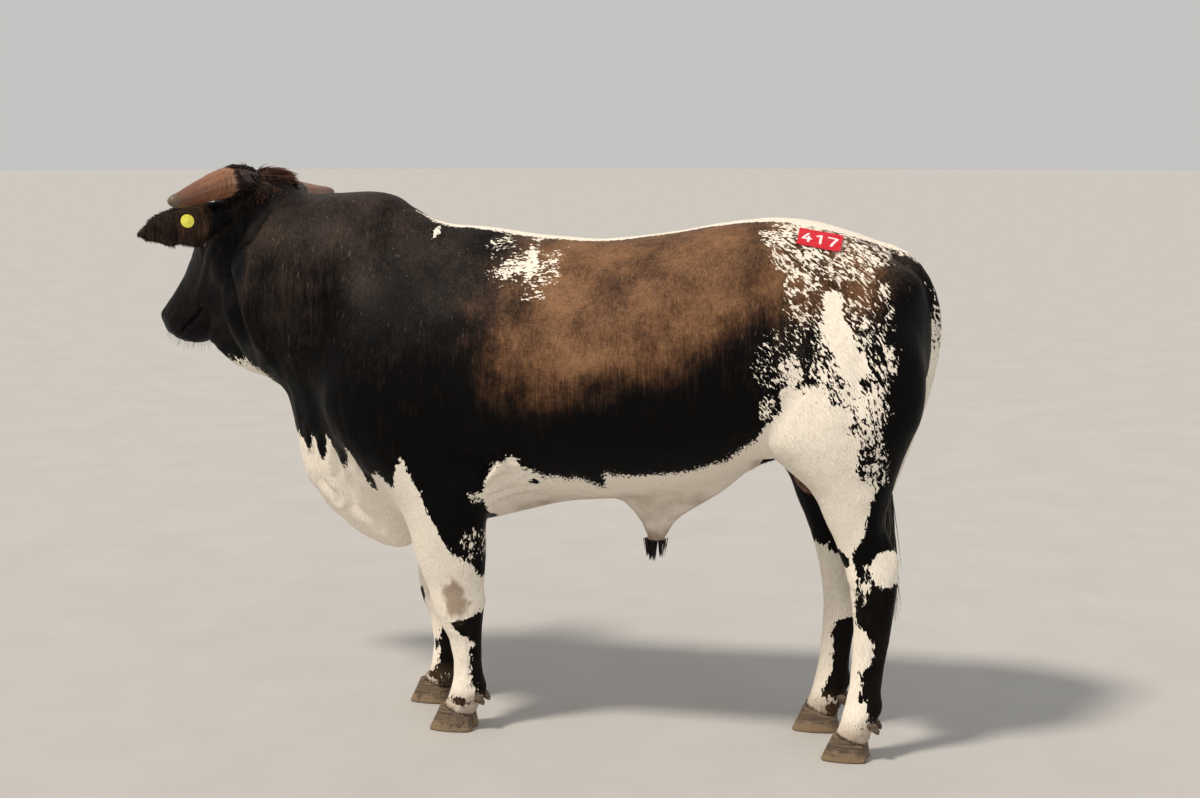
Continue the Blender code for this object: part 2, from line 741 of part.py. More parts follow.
def place_on_floor(home):
    """Moves everything so that the middle of the box's floor is the origin."""
    low, high = Vector((9, 9, 9)), Vector((-9, -9, -9))
    for node in home.objects:
        for vertex in node.data.vertices:
            for axis in range(3):
                low[axis] = min(low[axis], vertex.co[axis])
                high[axis] = max(high[axis], vertex.co[axis])
    shift = Vector((-(low.x + high.x) / 2, -(low.y + high.y) / 2, -low.z))
    for node in home.objects:
        node.data.transform(Matrix.Translation(shift))
    return shift


clear_scene()
bull = collection("bull")
workshop = collection("workshop")
workshop.hide_render = True
dice = random.Random(7)

# The body and the head are fused apart, so that the head keeps finer forms
forms = body_flesh(workshop)
skull_forms = head_lofts(workshop)
torso = joined("torso", forms + skull_forms, bull)
fused(torso, FLESH_VOXEL)
relax(torso, 20, flesh_weight)
thinned(torso, BODY_FACES)

chest_form = torso_loft(workshop, TORSO[:5])
near_neck = [form for form in forms if form.name.split(".")[0] in
             ("neck_form", "hump_form", "throat_form", "brisket_form")]
head = joined("head", near_neck + skull_forms + [chest_form], bull)
fused(head, HEAD_VOXEL)
relax(head, 34, head_weight)
thinned(head, HEAD_FACES * 3)
remove(chest_form, *forms, *skull_forms)

# Cuts between the flesh nodes
legs = {}
for side, hand in ((-1, "left"), (1, "right")):
    outline = [(side * y, z) for y, z in ELBOW_CUT]
    region = prism("region", outline, -0.80, -0.405, workshop)
    legs["front", hand] = split(torso, "leg_front_" + hand, region, bull, workshop)
    low, high = sorted((side * 0.0, side * 0.50))
    region = block("region", (0.31, low, -0.2), (0.95, high, 0.795), workshop)
    legs["hind", hand] = split(torso, "leg_hind_" + hand, region, bull, workshop)

region = block("region", (-1.31, -0.17, 0.3), (-0.35, 0.17, 1.07), workshop,
               Matrix.Rotation(math.radians(32), 4, "Y"), (-1.27, 0, 1.07))
below = swollen_block(region, workshop)
dewlap = split(torso, "dewlap", region, bull, workshop)
face_cut = ahead_of("face_cut", (-1.035, 0.03, 1.35), NECK_CUT, workshop)
boolean(head, face_cut, "INTERSECT")
boolean(head, below, "DIFFERENCE")
largest_only(head)
thinned(head, HEAD_FACES)
wider = swollen_block(face_cut, workshop)
boolean(torso, wider, "DIFFERENCE")
remove(wider, face_cut, below)
largest_only(torso)

region = block("region", (-0.12, -0.12, 0.3), (0.20, 0.12, 0.655), workshop)
sheath = split(torso, "sheath", region, bull, workshop)
region = ahead_of("region", (-0.66, 0, 1.45), (-0.918, 0, 0.398), workshop)
neck = split(torso, "neck", region, bull, workshop)

# Feet
feet = []
for (end, hand), leg in legs.items():
    side = -1 if hand == "left" else 1
    across = side * 0.140 - (0.025 if side > 0 else 0)
    if end == "front":
        foot = Vector((-0.523 + (FAR_FRONT_STEP if side > 0 else 0), across, 0))
    else:
        foot = Vector((0.584 + (FAR_HIND_STEP if side > 0 else 0), across, 0))
    lean = (CORONET_TOE - CORONET_HEEL) / 0.088
    edge = foot + Vector((-0.036, 0, CORONET_TOE + GAP))
    under = ahead_of("under", edge, (-lean, 0, -1), workshop)
    boolean(leg, under, "DIFFERENCE")
    remove(under)
    largest_only(leg)
    for toe, name in ((-1, "outer"), (1, "inner")):
        label = f"claw_{end}_{hand}_{name}"
        feet.append(claw(label, foot, toe * -side, bull))
        centre = foot + Vector((0.083 if end == "front" else 0.078, toe * -side * 0.026, 0.098))
        spur = tube(f"dewclaw_{end}_{hand}_{name}",
                    [centre + Vector((dx, 0, dz)) for dx, dz in
                     ((-0.040, 0.016), (-0.018, 0.006), (-0.002, -0.004), (0.006, -0.014),
                      (0.009, -0.020))],
                    (0.013, 0.0135, 0.012, 0.008, 0.003), bull, 10)
        trimmed(spur, [leg], workshop)
        feet.append(spur)

# Tail, switch, sheath tassels and scrotum
path, radii = curve_points(TAIL, 2)
tail = tube("tail", path, radii, bull, 10)
trimmed(tail, [torso], workshop)
core_path, core_radii = curve_points((
    (0.641, 0.011, 0.612, 0.020), (0.640, 0.012, 0.560, 0.030), (0.642, 0.012, 0.480, 0.032),
    (0.646, 0.012, 0.420, 0.022), (0.650, 0.012, 0.370, 0.008)), 2)
switch = tube("tail_switch", core_path, core_radii, bull, 10)
strands = []
for k in range(11):
    turn = 2 * math.pi * k / 11 + dice.uniform(-0.2, 0.2)
    out = Vector((math.cos(turn), math.sin(turn) * 0.9, 0))
    root = Vector((0.641, 0.012, dice.uniform(0.48, 0.55))) + out * 0.018
    strands.append(lock(root, -Z + out * 0.10, dice.uniform(0.15, 0.20), 0.022, out, workshop,
                        out * -0.012))
grow(switch, strands)
trimmed(switch, [tail], workshop)

strands = []
for dx, dy, length in ((-0.016, -0.010, 0.070), (0.000, 0.010, 0.090), (0.004, -0.014, 0.080),
                       (0.018, 0.004, 0.072), (0.024, -0.008, 0.064)):
    root = Vector((0.020 + dx, dy, 0.558))
    strands.append(lock(root, Vector((dx * 0.6, dy * 0.5, -1)), length, 0.020, Y, workshop,
                        Vector((-0.006, 0, 0))))
grow(sheath, strands)

lobes = [ball("lobe", (0.466, side * 0.026, 0.752), (0.062, 0.040, 0.064), workshop)
         for side in (-1, 1)]
lobes.append(ball("lobe", (0.470, 0, 0.800), (0.052, 0.046, 0.050), workshop))
scrotum = joined("scrotum", lobes, bull)
remove(*lobes)
fused(scrotum, 0.008)
relax(scrotum, 5, lambda points: np.ones(len(points)))
thinned(scrotum, 220)
trimmed(scrotum, [torso, legs["hind", "left"], legs["hind", "right"]], workshop, 0.0015)

# Eyes, lids, nostrils and mouth
turn = frame(FACE, CROWN)
for side, hand in ((1, "left"), (-1, "right")):
    centre = head_point(0.216, side * 0.102, -0.044)
    lid = ball("lid", centre, (EYE + 0.0050, EYE + 0.0045, EYE + 0.0060), workshop, turn, 10)
    boolean(head, lid, "UNION")
    slit = ball("slit", centre + LEFT * (side * 0.030), (0.026, 0.0085, 0.0185), workshop, turn, 10)
    boolean(head, slit, "DIFFERENCE")
    eye = ball("eye_" + hand, centre, (EYE, EYE, EYE), bull, turn, 9)
    socket = swollen(eye, workshop)
    boolean(head, socket, "DIFFERENCE")
    hole = ball("hole", head_point(0.568, side * 0.040, -0.040), (0.013, 0.009, 0.020), workshop,
                turn, 8)
    boolean(head, hole, "DIFFERENCE")
    remove(lid, slit, socket, hole)
mouth = mouth_cutter(workshop)
boolean(head, mouth, "DIFFERENCE")
remove(mouth)
largest_only(head)

# Poll hair, then the horns and ears with the tag of the left ear
tufts = []
for k in range(24):
    across = 0.066 * ((k % 8) - 3.5) / 3.5 + dice.uniform(-0.006, 0.006)
    row = k // 8
    root = head_point(0.026 - 0.030 * row, across + 0.006,
                      0.022 - 0.010 * row - 1.2 * across * across + 0.12 * across)
    away = LEFT * (across * 6 + 0.30) - HEADING * 0.42 - Z * (0.22 + 0.18 * row)
    tufts.append(lock(root, away, dice.uniform(0.062, 0.086), 0.030, CROWN * 0.6 - HEADING, workshop,
                      -Z * 0.020))
nape = swollen(neck, workshop, 0.001)
for strand in tufts:
    boolean(strand, nape, "DIFFERENCE")
    largest_only(strand)
remove(nape)
grow(head, tufts)
sunk = []
for side, hand in ((1, "left"), (-1, "right")):
    sunk.append(horn("horn_" + hand, side, bull))
    leaf = ear("ear_" + hand, side, bull)
    sunk.append(leaf)
    if hand == "left":
        spot, hollow = ear_line(side, 0.160), ear_hollow(side)
        stud = ((-0.0185, 0.0190), (-0.0140, 0.0190), (-0.0139, 0.004), (0.0040, 0.004),
                (0.0041, 0.012), (0.0085, 0.012))
        tag = tube("ear_tag", [spot + hollow * depth for depth, _ in stud],
                   [radius for _, radius in stud], bull, 18)
        trimmed(leaf, [tag], workshop)
trimmed(head, sunk, workshop)

# The numbered sticker on the near hip
plate = block("plate", (-0.058, -0.037, -0.06), (0.058, 0.037, 0.06), workshop)
tilt = Matrix.Rotation(math.radians(3.5), 4, "Y") @ Matrix.Rotation(math.radians(31), 4, "X")
plate.data.transform(Matrix.Translation((0.484, -0.150, 1.395)) @ tilt)
sticker = swollen(torso, workshop, 0.0022)
sticker.name = "hip_tag"
boolean(sticker, plate, "INTERSECT")
remove(plate)
trimmed(sticker, [torso], workshop)
bull.objects.link(sticker)
workshop.objects.unlink(sticker)

COATS = (
    ("head", "dark hide", (0.022, 0.017, 0.015), 0.6),
    ("neck", "dark hide", (0.022, 0.017, 0.015), 0.6),
    ("torso", "brown hide", (0.075, 0.035, 0.020), 0.6),
    ("dewlap", "pale hide", (0.62, 0.54, 0.44), 0.7),
    ("sheath", "pale hide", (0.62, 0.54, 0.44), 0.7),
    ("scrotum", "bare skin", (0.42, 0.27, 0.18), 0.6),
    ("leg", "pale hide", (0.62, 0.54, 0.44), 0.7),
    ("tail_switch", "switch hair", (0.018, 0.014, 0.012), 0.7),
    ("tail", "dark hide", (0.022, 0.017, 0.015), 0.6),
    ("horn", "horn", (0.52, 0.38, 0.25), 0.45),
    ("ear_tag", "yellow plastic", (0.80, 0.78, 0.06), 0.45),
    ("ear", "ear skin", (0.045, 0.026, 0.018), 0.6),
    ("eye", "eye", (0.012, 0.008, 0.006), 0.12),
    ("claw", "hoof", (0.16, 0.11, 0.075), 0.6),
    ("dewclaw", "hoof", (0.16, 0.11, 0.075), 0.6),
    ("hip_tag", "red plastic", (0.62, 0.02, 0.03), 0.4),
)
shift = place_on_floor(bull)
for node in bull.objects:
    node.data.name = node.name
    for start, name, colour, roughness in COATS:
        if node.name.startswith(start):
            node.data.materials.clear()
            node.data.materials.append(material(name, colour, roughness))
            break
    for face in node.data.polygons:
        face.use_smooth = True
remove(*workshop.objects)
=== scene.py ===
import math

import bmesh
import bpy
import numpy as np
from mathutils import Matrix, Vector
from mathutils.bvhtree import BVHTree


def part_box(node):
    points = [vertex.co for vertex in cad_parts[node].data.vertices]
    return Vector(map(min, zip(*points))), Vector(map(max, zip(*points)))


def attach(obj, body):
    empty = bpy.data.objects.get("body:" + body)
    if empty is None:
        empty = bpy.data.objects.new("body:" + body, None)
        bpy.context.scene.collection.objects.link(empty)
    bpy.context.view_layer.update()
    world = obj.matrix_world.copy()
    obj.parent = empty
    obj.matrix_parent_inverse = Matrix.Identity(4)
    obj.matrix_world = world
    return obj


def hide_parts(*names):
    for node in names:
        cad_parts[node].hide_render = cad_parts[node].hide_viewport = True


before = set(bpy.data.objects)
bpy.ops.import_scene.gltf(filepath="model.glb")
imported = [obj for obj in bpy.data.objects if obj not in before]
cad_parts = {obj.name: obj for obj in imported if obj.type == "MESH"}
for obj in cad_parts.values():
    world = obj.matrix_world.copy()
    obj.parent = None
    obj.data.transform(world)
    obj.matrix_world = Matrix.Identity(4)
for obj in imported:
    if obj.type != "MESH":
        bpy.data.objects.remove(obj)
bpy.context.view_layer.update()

# Skin. One hide covers head, neck, body, legs, ears, tail and sheath with no seam. It starts from
# copies of the frame's flesh, is melted together, and is then worked like clay: muscles, folds,
# hollows, lids, nostrils and lips are raised or pressed in, and all lies a coat's depth inside.
SKIN_VOXEL = 0.0042
SKIN_FACES = 172000
COAT_DEPTH = 0.0022
FLESH = ("head", "neck", "dewlap", "torso", "sheath", "scrotum", "tail", "leg_front_left",
         "leg_front_right", "leg_hind_left", "leg_hind_right", "ear_left", "ear_right")
FLESH_SWELL, EAR_SWELL = 0.0009, 0.0028    # so that neighbours meet, and ears survive the melt
WELD = 1e-5
EASE_IN, EASE_OUT = 0.55, -0.57          # a round of smoothing, and one that undoes its shrinking
MIDDLE = -0.035                          # the plane the bull is even about, but for its head
POLL = Vector((-0.7793, -0.0050, 1.524))
HEAD_TURN, HEAD_DROOP = math.radians(21), math.radians(44.5)
AHEAD = Vector((-math.cos(HEAD_TURN), math.sin(HEAD_TURN), 0))
LEFT = Vector((0, 0, 1)).cross(AHEAD)
FACE = AHEAD * math.cos(HEAD_DROOP) - Vector((0, 0, math.sin(HEAD_DROOP)))
CROWN = AHEAD * math.sin(HEAD_DROOP) + Vector((0, 0, math.cos(HEAD_DROOP)))
HEAD_MIDDLE, HEAD_LONG = (0.27, -0.08), 1.5    # along the face and above its line; longer than wide
TASSEL_CUT = 0.537                       # the sheath's hair starts below this level


def show(name, mesh):
    made = bpy.data.objects.new(name, mesh)
    bpy.context.scene.collection.objects.link(made)
    return made


def listed(rows, key, kind, width):
    """A value of every row of one of a mesh's lists."""
    flat = np.empty(len(rows) * width, kind)
    rows.foreach_get(key, flat)
    return flat.reshape(-1, width)


def points(mesh):
    return listed(mesh.vertices, "co", np.float32, 3).astype(float)


def normals(mesh):
    return listed(mesh.vertex_normals, "vector", np.float32, 3).astype(float)


def edges(mesh):
    return listed(mesh.edges, "vertices", np.int32, 2)


def move(mesh, places):
    mesh.vertices.foreach_set("co", places.astype(np.float32).ravel())
    mesh.update()


def cast(name, bm):
    """A worked shape as a mesh."""
    mesh = bpy.data.meshes.new(name)
    bm.to_mesh(mesh)
    bm.free()
    return mesh


def copied(nodes, grow=0.0, but=None):
    """The frame's nodes as one closed mesh, each swollen a little so that they run together."""
    bm = bmesh.new()
    for node in nodes:
        one = bmesh.new()
        one.from_mesh(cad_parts[node].data)
        bmesh.ops.remove_doubles(one, verts=one.verts, dist=WELD)
        if but:
            but(node, one)
        one.normal_update()
        for vert in one.verts:
            vert.co += vert.normal * grow
        mesh = cast(node, one)
        bm.from_mesh(mesh)
        bpy.data.meshes.remove(mesh)
    return cast("copied", bm)


def finished(thing):
    """Applies the modifiers of an object."""
    graph = bpy.context.evaluated_depsgraph_get()
    mesh = bpy.data.meshes.new_from_object(thing.evaluated_get(graph))
    old = thing.data
    thing.modifiers.clear()
    thing.data = mesh
    bpy.data.meshes.remove(old)
    return thing


def melted(thing, voxel):
    remesh = thing.modifiers.new("melt", "REMESH")
    remesh.mode = "VOXEL"
    remesh.voxel_size = voxel
    return finished(thing)


def soothed(places, pairs, rounds, weight=None, shrink=False):
    """Evens out the surface, and without shrink keeps its volume."""
    count = len(places)
    ends = np.concatenate((pairs[:, 0], pairs[:, 1]))
    other = np.concatenate((pairs[:, 1], pairs[:, 0]))
    share = np.maximum(np.bincount(ends, minlength=count), 1)[:, None]
    for step in range(rounds):
        around = np.stack([np.bincount(ends, places[other, k], count) for k in range(3)], 1) / share
        pull = EASE_IN if shrink or step % 2 == 0 else EASE_OUT
        change = (around - places) * pull
        places = places + (change if weight is None else change * weight[:, None])
    return places


def head_axes(places):
    """Along the face from the horns, to the left, and above the face line."""
    out = places - np.array(POLL)
    return out @ np.array(FACE), out @ np.array(LEFT), out @ np.array(CROWN)


def ease(value, low, high):
    t = np.clip((value - low) / (high - low), 0, 1)
    return t * t * (3 - 2 * t)


def head_share(places, near, far):
    """1 in the head, fading to 0 between two distances from its middle."""
    along, left, height = head_axes(places)
    away = np.stack([(along - HEAD_MIDDLE[0]) / HEAD_LONG, left, height - HEAD_MIDDLE[1]], 1)
    return 1 - ease(np.linalg.norm(away, axis=1), near, far)


def dressed(thing, finish):
    """Gives a piece its material and smooth faces."""
    thing.data.shade_smooth()
    thing.data.materials.clear()
    thing.data.materials.append(finish)


def open_sheath(node, one):
    if node == "sheath":
        cut = bmesh.ops.bisect_plane(one, geom=one.verts[:] + one.edges[:] + one.faces[:],
                                     plane_co=(0, 0, TASSEL_CUT), plane_no=(0, 0, -1),
                                     clear_outer=True)
        rim = [e for e in cut["geom_cut"] if isinstance(e, bmesh.types.BMEdge)]
        bmesh.ops.contextual_create(one, geom=rim)
    if node.startswith("ear"):           # their rims are thinner than the melt can hold
        one.normal_update()
        for vert in one.verts:
            vert.co += vert.normal * EAR_SWELL


skin = melted(show("skin", copied(FLESH + ("eye_left", "eye_right"), FLESH_SWELL, open_sheath)),
              SKIN_VOXEL)

# The clay work. Heights are laid over the melted body as lumps, hollows and creases, in places
# named by their distance along the body, out from its middle plane, and up from the floor.
BODY_ROUNDS, LEG_ROUNDS = ((130, 22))
FORE_STEP, HIND_STEP = -0.150, -0.122    # how far ahead the right feet stand
EYES = {side: (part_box("eye_" + side)[0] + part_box("eye_" + side)[1]) / 2
        for side in ("left", "right")}
EYE_RADIUS = 0.0205
SNOUT, CHIN = (0.565, 0, -0.05), (0.50, 0, -0.10)    # along, left and height, for finer faces
JAW_BACK = (-0.910, -0.055, 1.185)
HEAD_CLEAR = (0.17, 0.24)                # the body's forms fade over this distance from the head
PLEAT_EVERY = 0.0095
CLEFT_OUT, CLEFT_WIDE, CLEFT_DEEP = 0.140, 0.0065, 0.010
MOP_ROOM = 0.010
HEAD_COAT_THIN = 0.6                     # the head's coat is shorter by this share
LUMPS = (                                # place, reach, height
    ((-0.31, 0.31, 0.95), (0.13, 0.13, 0.15), 0.011),      # triceps
    ((-0.48, 0.28, 0.94), (0.09, 0.10, 0.11), 0.010),      # point of the shoulder
    ((-0.24, 0.31, 1.20), (0.10, 0.14, 0.12), 0.006),      # blade
    ((-0.12, 0.26, 0.690), (0.040, 0.06, 0.040), 0.009),   # elbow
    ((-0.07, 0.27, 0.77), (0.045, 0.08, 0.05), -0.012),    # armpit hollow
    ((0.30, 0.29, 1.02), (0.30, 0.20, 0.22), 0.006),       # barrel
    ((0.60, 0.25, 1.24), (0.09, 0.10, 0.07), -0.011),      # hollow before the hip
    ((0.72, 0.23, 1.335), (0.05, 0.07, 0.045), 0.009),     # hip bone
    ((0.88, 0.27, 1.14), (0.12, 0.16, 0.12), 0.006),       # thigh
    ((0.67, 0.27, 1.00), (0.06, 0.10, 0.10), -0.012),      # flank hollow
    ((0.775, 0.25, 0.850), (0.055, 0.09, 0.06), 0.010),    # stifle
    ((1.040, 0.11, 1.285), (0.05, 0.06, 0.05), 0.009),     # pin bone
    ((1.060, 0.055, 1.345), (0.05, 0.03, 0.04), -0.008),   # beside the tail's root
    ((0.99, 0.24, 0.93), (0.06, 0.10, 0.12), 0.006),       # back of the thigh
    ((-0.36, 0.02, 1.475), (0.05, 0.10, 0.03), 0.004),     # hump
    ((-0.62, 0.04, 1.500), (0.10, 0.10, 0.05), -0.007),    # nape
    ((0.12, 0.17, 0.660), (0.10, 0.16, 0.05), -0.017),     # belly behind the elbow
)
LEG_LUMPS = (                            # the same, on legs, where right feet stand ahead
    ((-0.185, 0.230, 0.600), (0.045, 0.05, 0.080), 0.006),  # forearm muscle
    ((-0.085, 0.160, 0.520), (0.030, 0.04, 0.060), 0.004),
    ((-0.208, 0.150, 0.362), (0.022, 0.040, 0.040), 0.006),  # knee
    ((-0.078, 0.150, 0.372), (0.016, 0.030, 0.026), 0.008),
    ((-0.150, 0.205, 0.425), (0.020, 0.020, 0.030), -0.004),
    ((-0.130, 0.150, 0.292), (0.050, 0.070, 0.022), -0.003),
    ((-0.080, 0.140, 0.128), (0.020, 0.040, 0.022), 0.006),  # fetlock
    ((1.045, 0.150, 0.640), (0.020, 0.090, 0.060), -0.011),  # before the hock's tendon
    ((1.085, 0.150, 0.560), (0.018, 0.030, 0.026), 0.010),   # point of the hock
    ((0.985, 0.190, 0.500), (0.030, 0.020, 0.030), 0.006),
    ((0.985, 0.110, 0.495), (0.030, 0.020, 0.030), 0.005),
    ((0.935, 0.150, 0.520), (0.016, 0.050, 0.030), -0.004),
    ((0.930, 0.200, 0.720), (0.040, 0.040, 0.080), 0.005),   # gaskin
    ((1.030, 0.140, 0.150), (0.020, 0.040, 0.024), 0.006),   # fetlock
)
CREASES = (                              # path, half width, height
    (((-0.13, 0.30, 1.28), (-0.10, 0.34, 1.08), (-0.07, 0.34, 0.92), (-0.06, 0.30, 0.80)),
     0.035, -0.006),
    (((-0.47, 0.16, 1.36), (-0.51, 0.26, 1.18), (-0.53, 0.28, 1.02), (-0.50, 0.24, 0.88)),
     0.045, -0.006),
    (((0.66, 0.26, 0.86), (0.74, 0.28, 0.93), (0.79, 0.29, 1.04)), 0.022, 0.007),
    (((1.00, 0.27, 1.20), (0.985, 0.29, 1.04), (0.96, 0.28, 0.90), (0.985, 0.24, 0.78)),
     0.028, -0.005),
    (((-0.575, 0.12, 0.84), (-0.590, 0.10, 0.75), (-0.575, 0.08, 0.68), (-0.53, 0.07, 0.63)),
     0.014, -0.009),
    (((-0.50, 0.15, 0.80), (-0.505, 0.12, 0.70), (-0.475, 0.10, 0.61), (-0.42, 0.08, 0.55)),
     0.016, -0.008),
    (((-0.385, 0.17, 0.72), (-0.37, 0.14, 0.64), (-0.335, 0.10, 0.57), (-0.28, 0.07, 0.52)),
     0.020, -0.012),
    (((-0.42, 0.16, 0.74), (-0.41, 0.14, 0.66), (-0.38, 0.11, 0.59)), 0.012, -0.005),
    (((-0.055, 0.26, 0.69), (-0.03, 0.27, 0.75), (0.01, 0.29, 0.80)), 0.010, -0.011),
    (((-0.055, 0.25, 0.68), (0.00, 0.26, 0.73), (0.06, 0.28, 0.76)), 0.010, -0.010),
    (((-0.05, 0.23, 0.67), (0.04, 0.24, 0.70), (0.12, 0.26, 0.71)), 0.010, -0.008),
    (((-0.36, 0.10, 1.44), (-0.31, 0.16, 1.38), (-0.30, 0.20, 1.33)), 0.010, -0.004),
    (((-0.31, 0.08, 1.44), (-0.27, 0.13, 1.39), (-0.27, 0.17, 1.35)), 0.008, -0.004),
    (((-0.56, 0.10, 1.45), (-0.60, 0.17, 1.38), (-0.62, 0.21, 1.26)), 0.013, -0.0028),
    (((-0.63, 0.08, 1.44), (-0.67, 0.15, 1.37), (-0.69, 0.19, 1.24)), 0.014, -0.0032),
)
NEAR_CREASES = (                         # left side only, which the turned head stretches
    (((-0.83, -0.12, 1.43), (-0.85, -0.11, 1.39), (-0.86, -0.10, 1.34), (-0.86, -0.10, 1.30),
      (-0.855, -0.11, 1.26), (-0.84, -0.14, 1.22), (-0.83, -0.15, 1.18), (-0.81, -0.16, 1.13),
      (-0.79, -0.16, 1.09), (-0.77, -0.15, 1.05)), 0.027, -0.025),
    (((-0.780, -0.11, 1.43), (-0.780, -0.12, 1.36), (-0.765, -0.15, 1.30), (-0.760, -0.18, 1.24),
      (-0.760, -0.18, 1.16), (-0.745, -0.18, 1.10), (-0.720, -0.17, 1.03)), 0.020, 0.007),
    (((-0.90, -0.06, 1.25), (-0.915, -0.02, 1.18), (-0.895, -0.02, 1.10)), 0.018, 0.005),
    (((-0.70, -0.12, 1.47), (-0.745, -0.15, 1.42), (-0.775, -0.13, 1.45)), 0.009, -0.004),
    (((-0.64, -0.12, 1.46), (-0.69, -0.17, 1.40), (-0.72, -0.19, 1.34)), 0.012, -0.004),
)
LEG_CREASES = (
    (((-0.108, 0.150, 0.285), (-0.104, 0.142, 0.220), (-0.104, 0.140, 0.150)), 0.006, -0.0042),
    (((1.020, 0.148, 0.440), (1.017, 0.143, 0.330), (1.010, 0.140, 0.190)), 0.006, -0.0045),
    (((-0.190, 0.150, 0.312), (-0.150, 0.150, 0.300), (-0.11, 0.150, 0.300)), 0.010, -0.003),
    (((0.965, 0.150, 0.455), (0.945, 0.150, 0.470), (0.930, 0.150, 0.490)), 0.008, -0.003),
)


def hashed(cell, seed):
    """A steady number from 0 to 1 for each corner of a grid."""
    mixed = ((cell[:, 0] * 73856093) ^ (cell[:, 1] * 19349663) ^ (cell[:, 2] * 83492791)
             ^ (seed * 2654435))
    mixed = (mixed ^ (mixed >> 13)) * 1274126177 & 0x7FFFFFFF
    return ((mixed ^ (mixed >> 16)) & 0xFFFF) / 65535


def rough(places, size, seed, stretch=(1, 1, 1)):
    """Smooth random hills between -1 and 1, size metres apart."""
    at = places / (np.array(stretch) * size) + 1000.5
    cell = np.floor(at).astype(np.int64)
    part = at - cell
    part = part * part * (3 - 2 * part)
    total = np.zeros(len(places))
    for corner in range(8):
        step = np.array([corner & 1, corner >> 1 & 1, corner >> 2 & 1])
        weight = np.prod(np.where(step, part, 1 - part), 1)
        total += weight * hashed(cell + step, seed)
    return total * 2 - 1


def on_legs(places):
    """The places with the right legs' forward step taken out."""
    out = places.copy()
    right = places[:, 1] > MIDDLE
    front = places[:, 0] < 0.3
    step = np.where(front, FORE_STEP, HIND_STEP) * (1 - ease(places[:, 2], 0.55, 0.86))
    out[:, 0] -= np.where(right, step, 0)
    out[:, 1] = np.abs(places[:, 1] - MIDDLE)
    return out


def lumps(places, table):
    total = np.zeros(len(places))
    for centre, reach, height in table:
        away = ((places - np.array(centre)) / np.array(reach)) ** 2
        total += height * np.exp(-away.sum(1))
    return total


def line_distance(places, path):
    best = np.full(len(places), 9.0)
    for start, end in zip(path, path[1:]):
        start, along = np.array(start), np.array(end) - np.array(start)
        share = np.clip((places - start) @ along / (along @ along), 0, 1)
        best = np.minimum(best, np.linalg.norm(places - start - share[:, None] * along, axis=1))
    return best


def creases(places, table, across=1.0):
    total = np.zeros(len(places))
    scale = np.array((1, across, 1))
    for path, width, height in table:
        low, high = np.min(path, 0) - 5 * width - 0.03, np.max(path, 0) + 5 * width + 0.03
        near = np.all((places > low - (0, 0.1, 0)) & (places < high + (0, 0.1, 0)), 1)
        if near.any():
            path = [np.array(p) * scale for p in path]
            away = line_distance(places[near] * scale, path) / width
            ends = np.min([np.linalg.norm(places[near] * scale - p, axis=1)
                           for p in (path[0], path[-1])], 0)
            fade = ease(ends, 0, min(3 * width, 0.4 * np.linalg.norm(path[-1] - path[0])))
            total[near] += height * fade * (np.exp(-away ** 2) - 0.35 * np.exp(-(away - 1.9) ** 2))
    return total


def grouped(thing, name, weight, levels=12):
    """A vertex group with the weights rounded to a few levels."""
    group = thing.vertex_groups.new(name=name)
    level = np.rint(np.clip(weight, 0, 1) * levels).astype(int)
    for k in range(1, levels + 1):
        group.add(np.flatnonzero(level == k).tolist(), k / levels, "REPLACE")
    return name


def evened(thing, weight, rounds, name):
    smooth = thing.modifiers.new(name, "SMOOTH")
    smooth.factor = 0.5
    smooth.iterations = rounds
    smooth.vertex_group = grouped(thing, name, weight)


def flesh_zones(places):
    """How far each point is body, leg or head, for how much it may be evened."""
    along, left, height = head_axes(places)
    head = head_share(places, 0.17, 0.26)
    body = ease(places[:, 2], 0.66, 0.86) * (1 - head)
    # ears, tail, sheath and scrotum are too thin to even as much as the body
    ear = ((np.abs(left) > 0.13) & (along < 0.17) & (height > np.where(left > 0, -0.17, -0.235))
           & (places[:, 0] < -0.715))
    tail = (places[:, 0] > 1.02) & (np.abs(places[:, 1] - MIDDLE) < 0.06)
    soft = ((places[:, 0] > 0.22) & (places[:, 0] < 0.52) & (places[:, 2] < 0.70)
            | (places[:, 0] > 0.75) & (places[:, 2] < 0.83)
            & (np.abs(places[:, 1] - MIDDLE) < 0.07))
    thin = ear | tail | soft
    body = np.where(thin, 0, body)
    return body, np.where(ear, 1.0, np.where(thin, 0.35, 1.0)) * (1 - head * 0.6), ear


def finer(mesh, spots):
    """Splits the faces in four within a distance of each spot."""
    bm = bmesh.new()
    bm.from_mesh(mesh)
    places = points(mesh)
    near = np.zeros(len(places), bool)
    for centre, reach in spots:
        near |= np.linalg.norm(places - np.array(centre), axis=1) < reach
    picked = [e for e in bm.edges if near[e.verts[0].index] and near[e.verts[1].index]]
    bmesh.ops.subdivide_edges(bm, edges=picked, cuts=1, use_grid_fill=True)
    bm.to_mesh(mesh)
    bm.free()


def head_place(along, left, height):
    return POLL + FACE * along + LEFT * left + CROWN * height


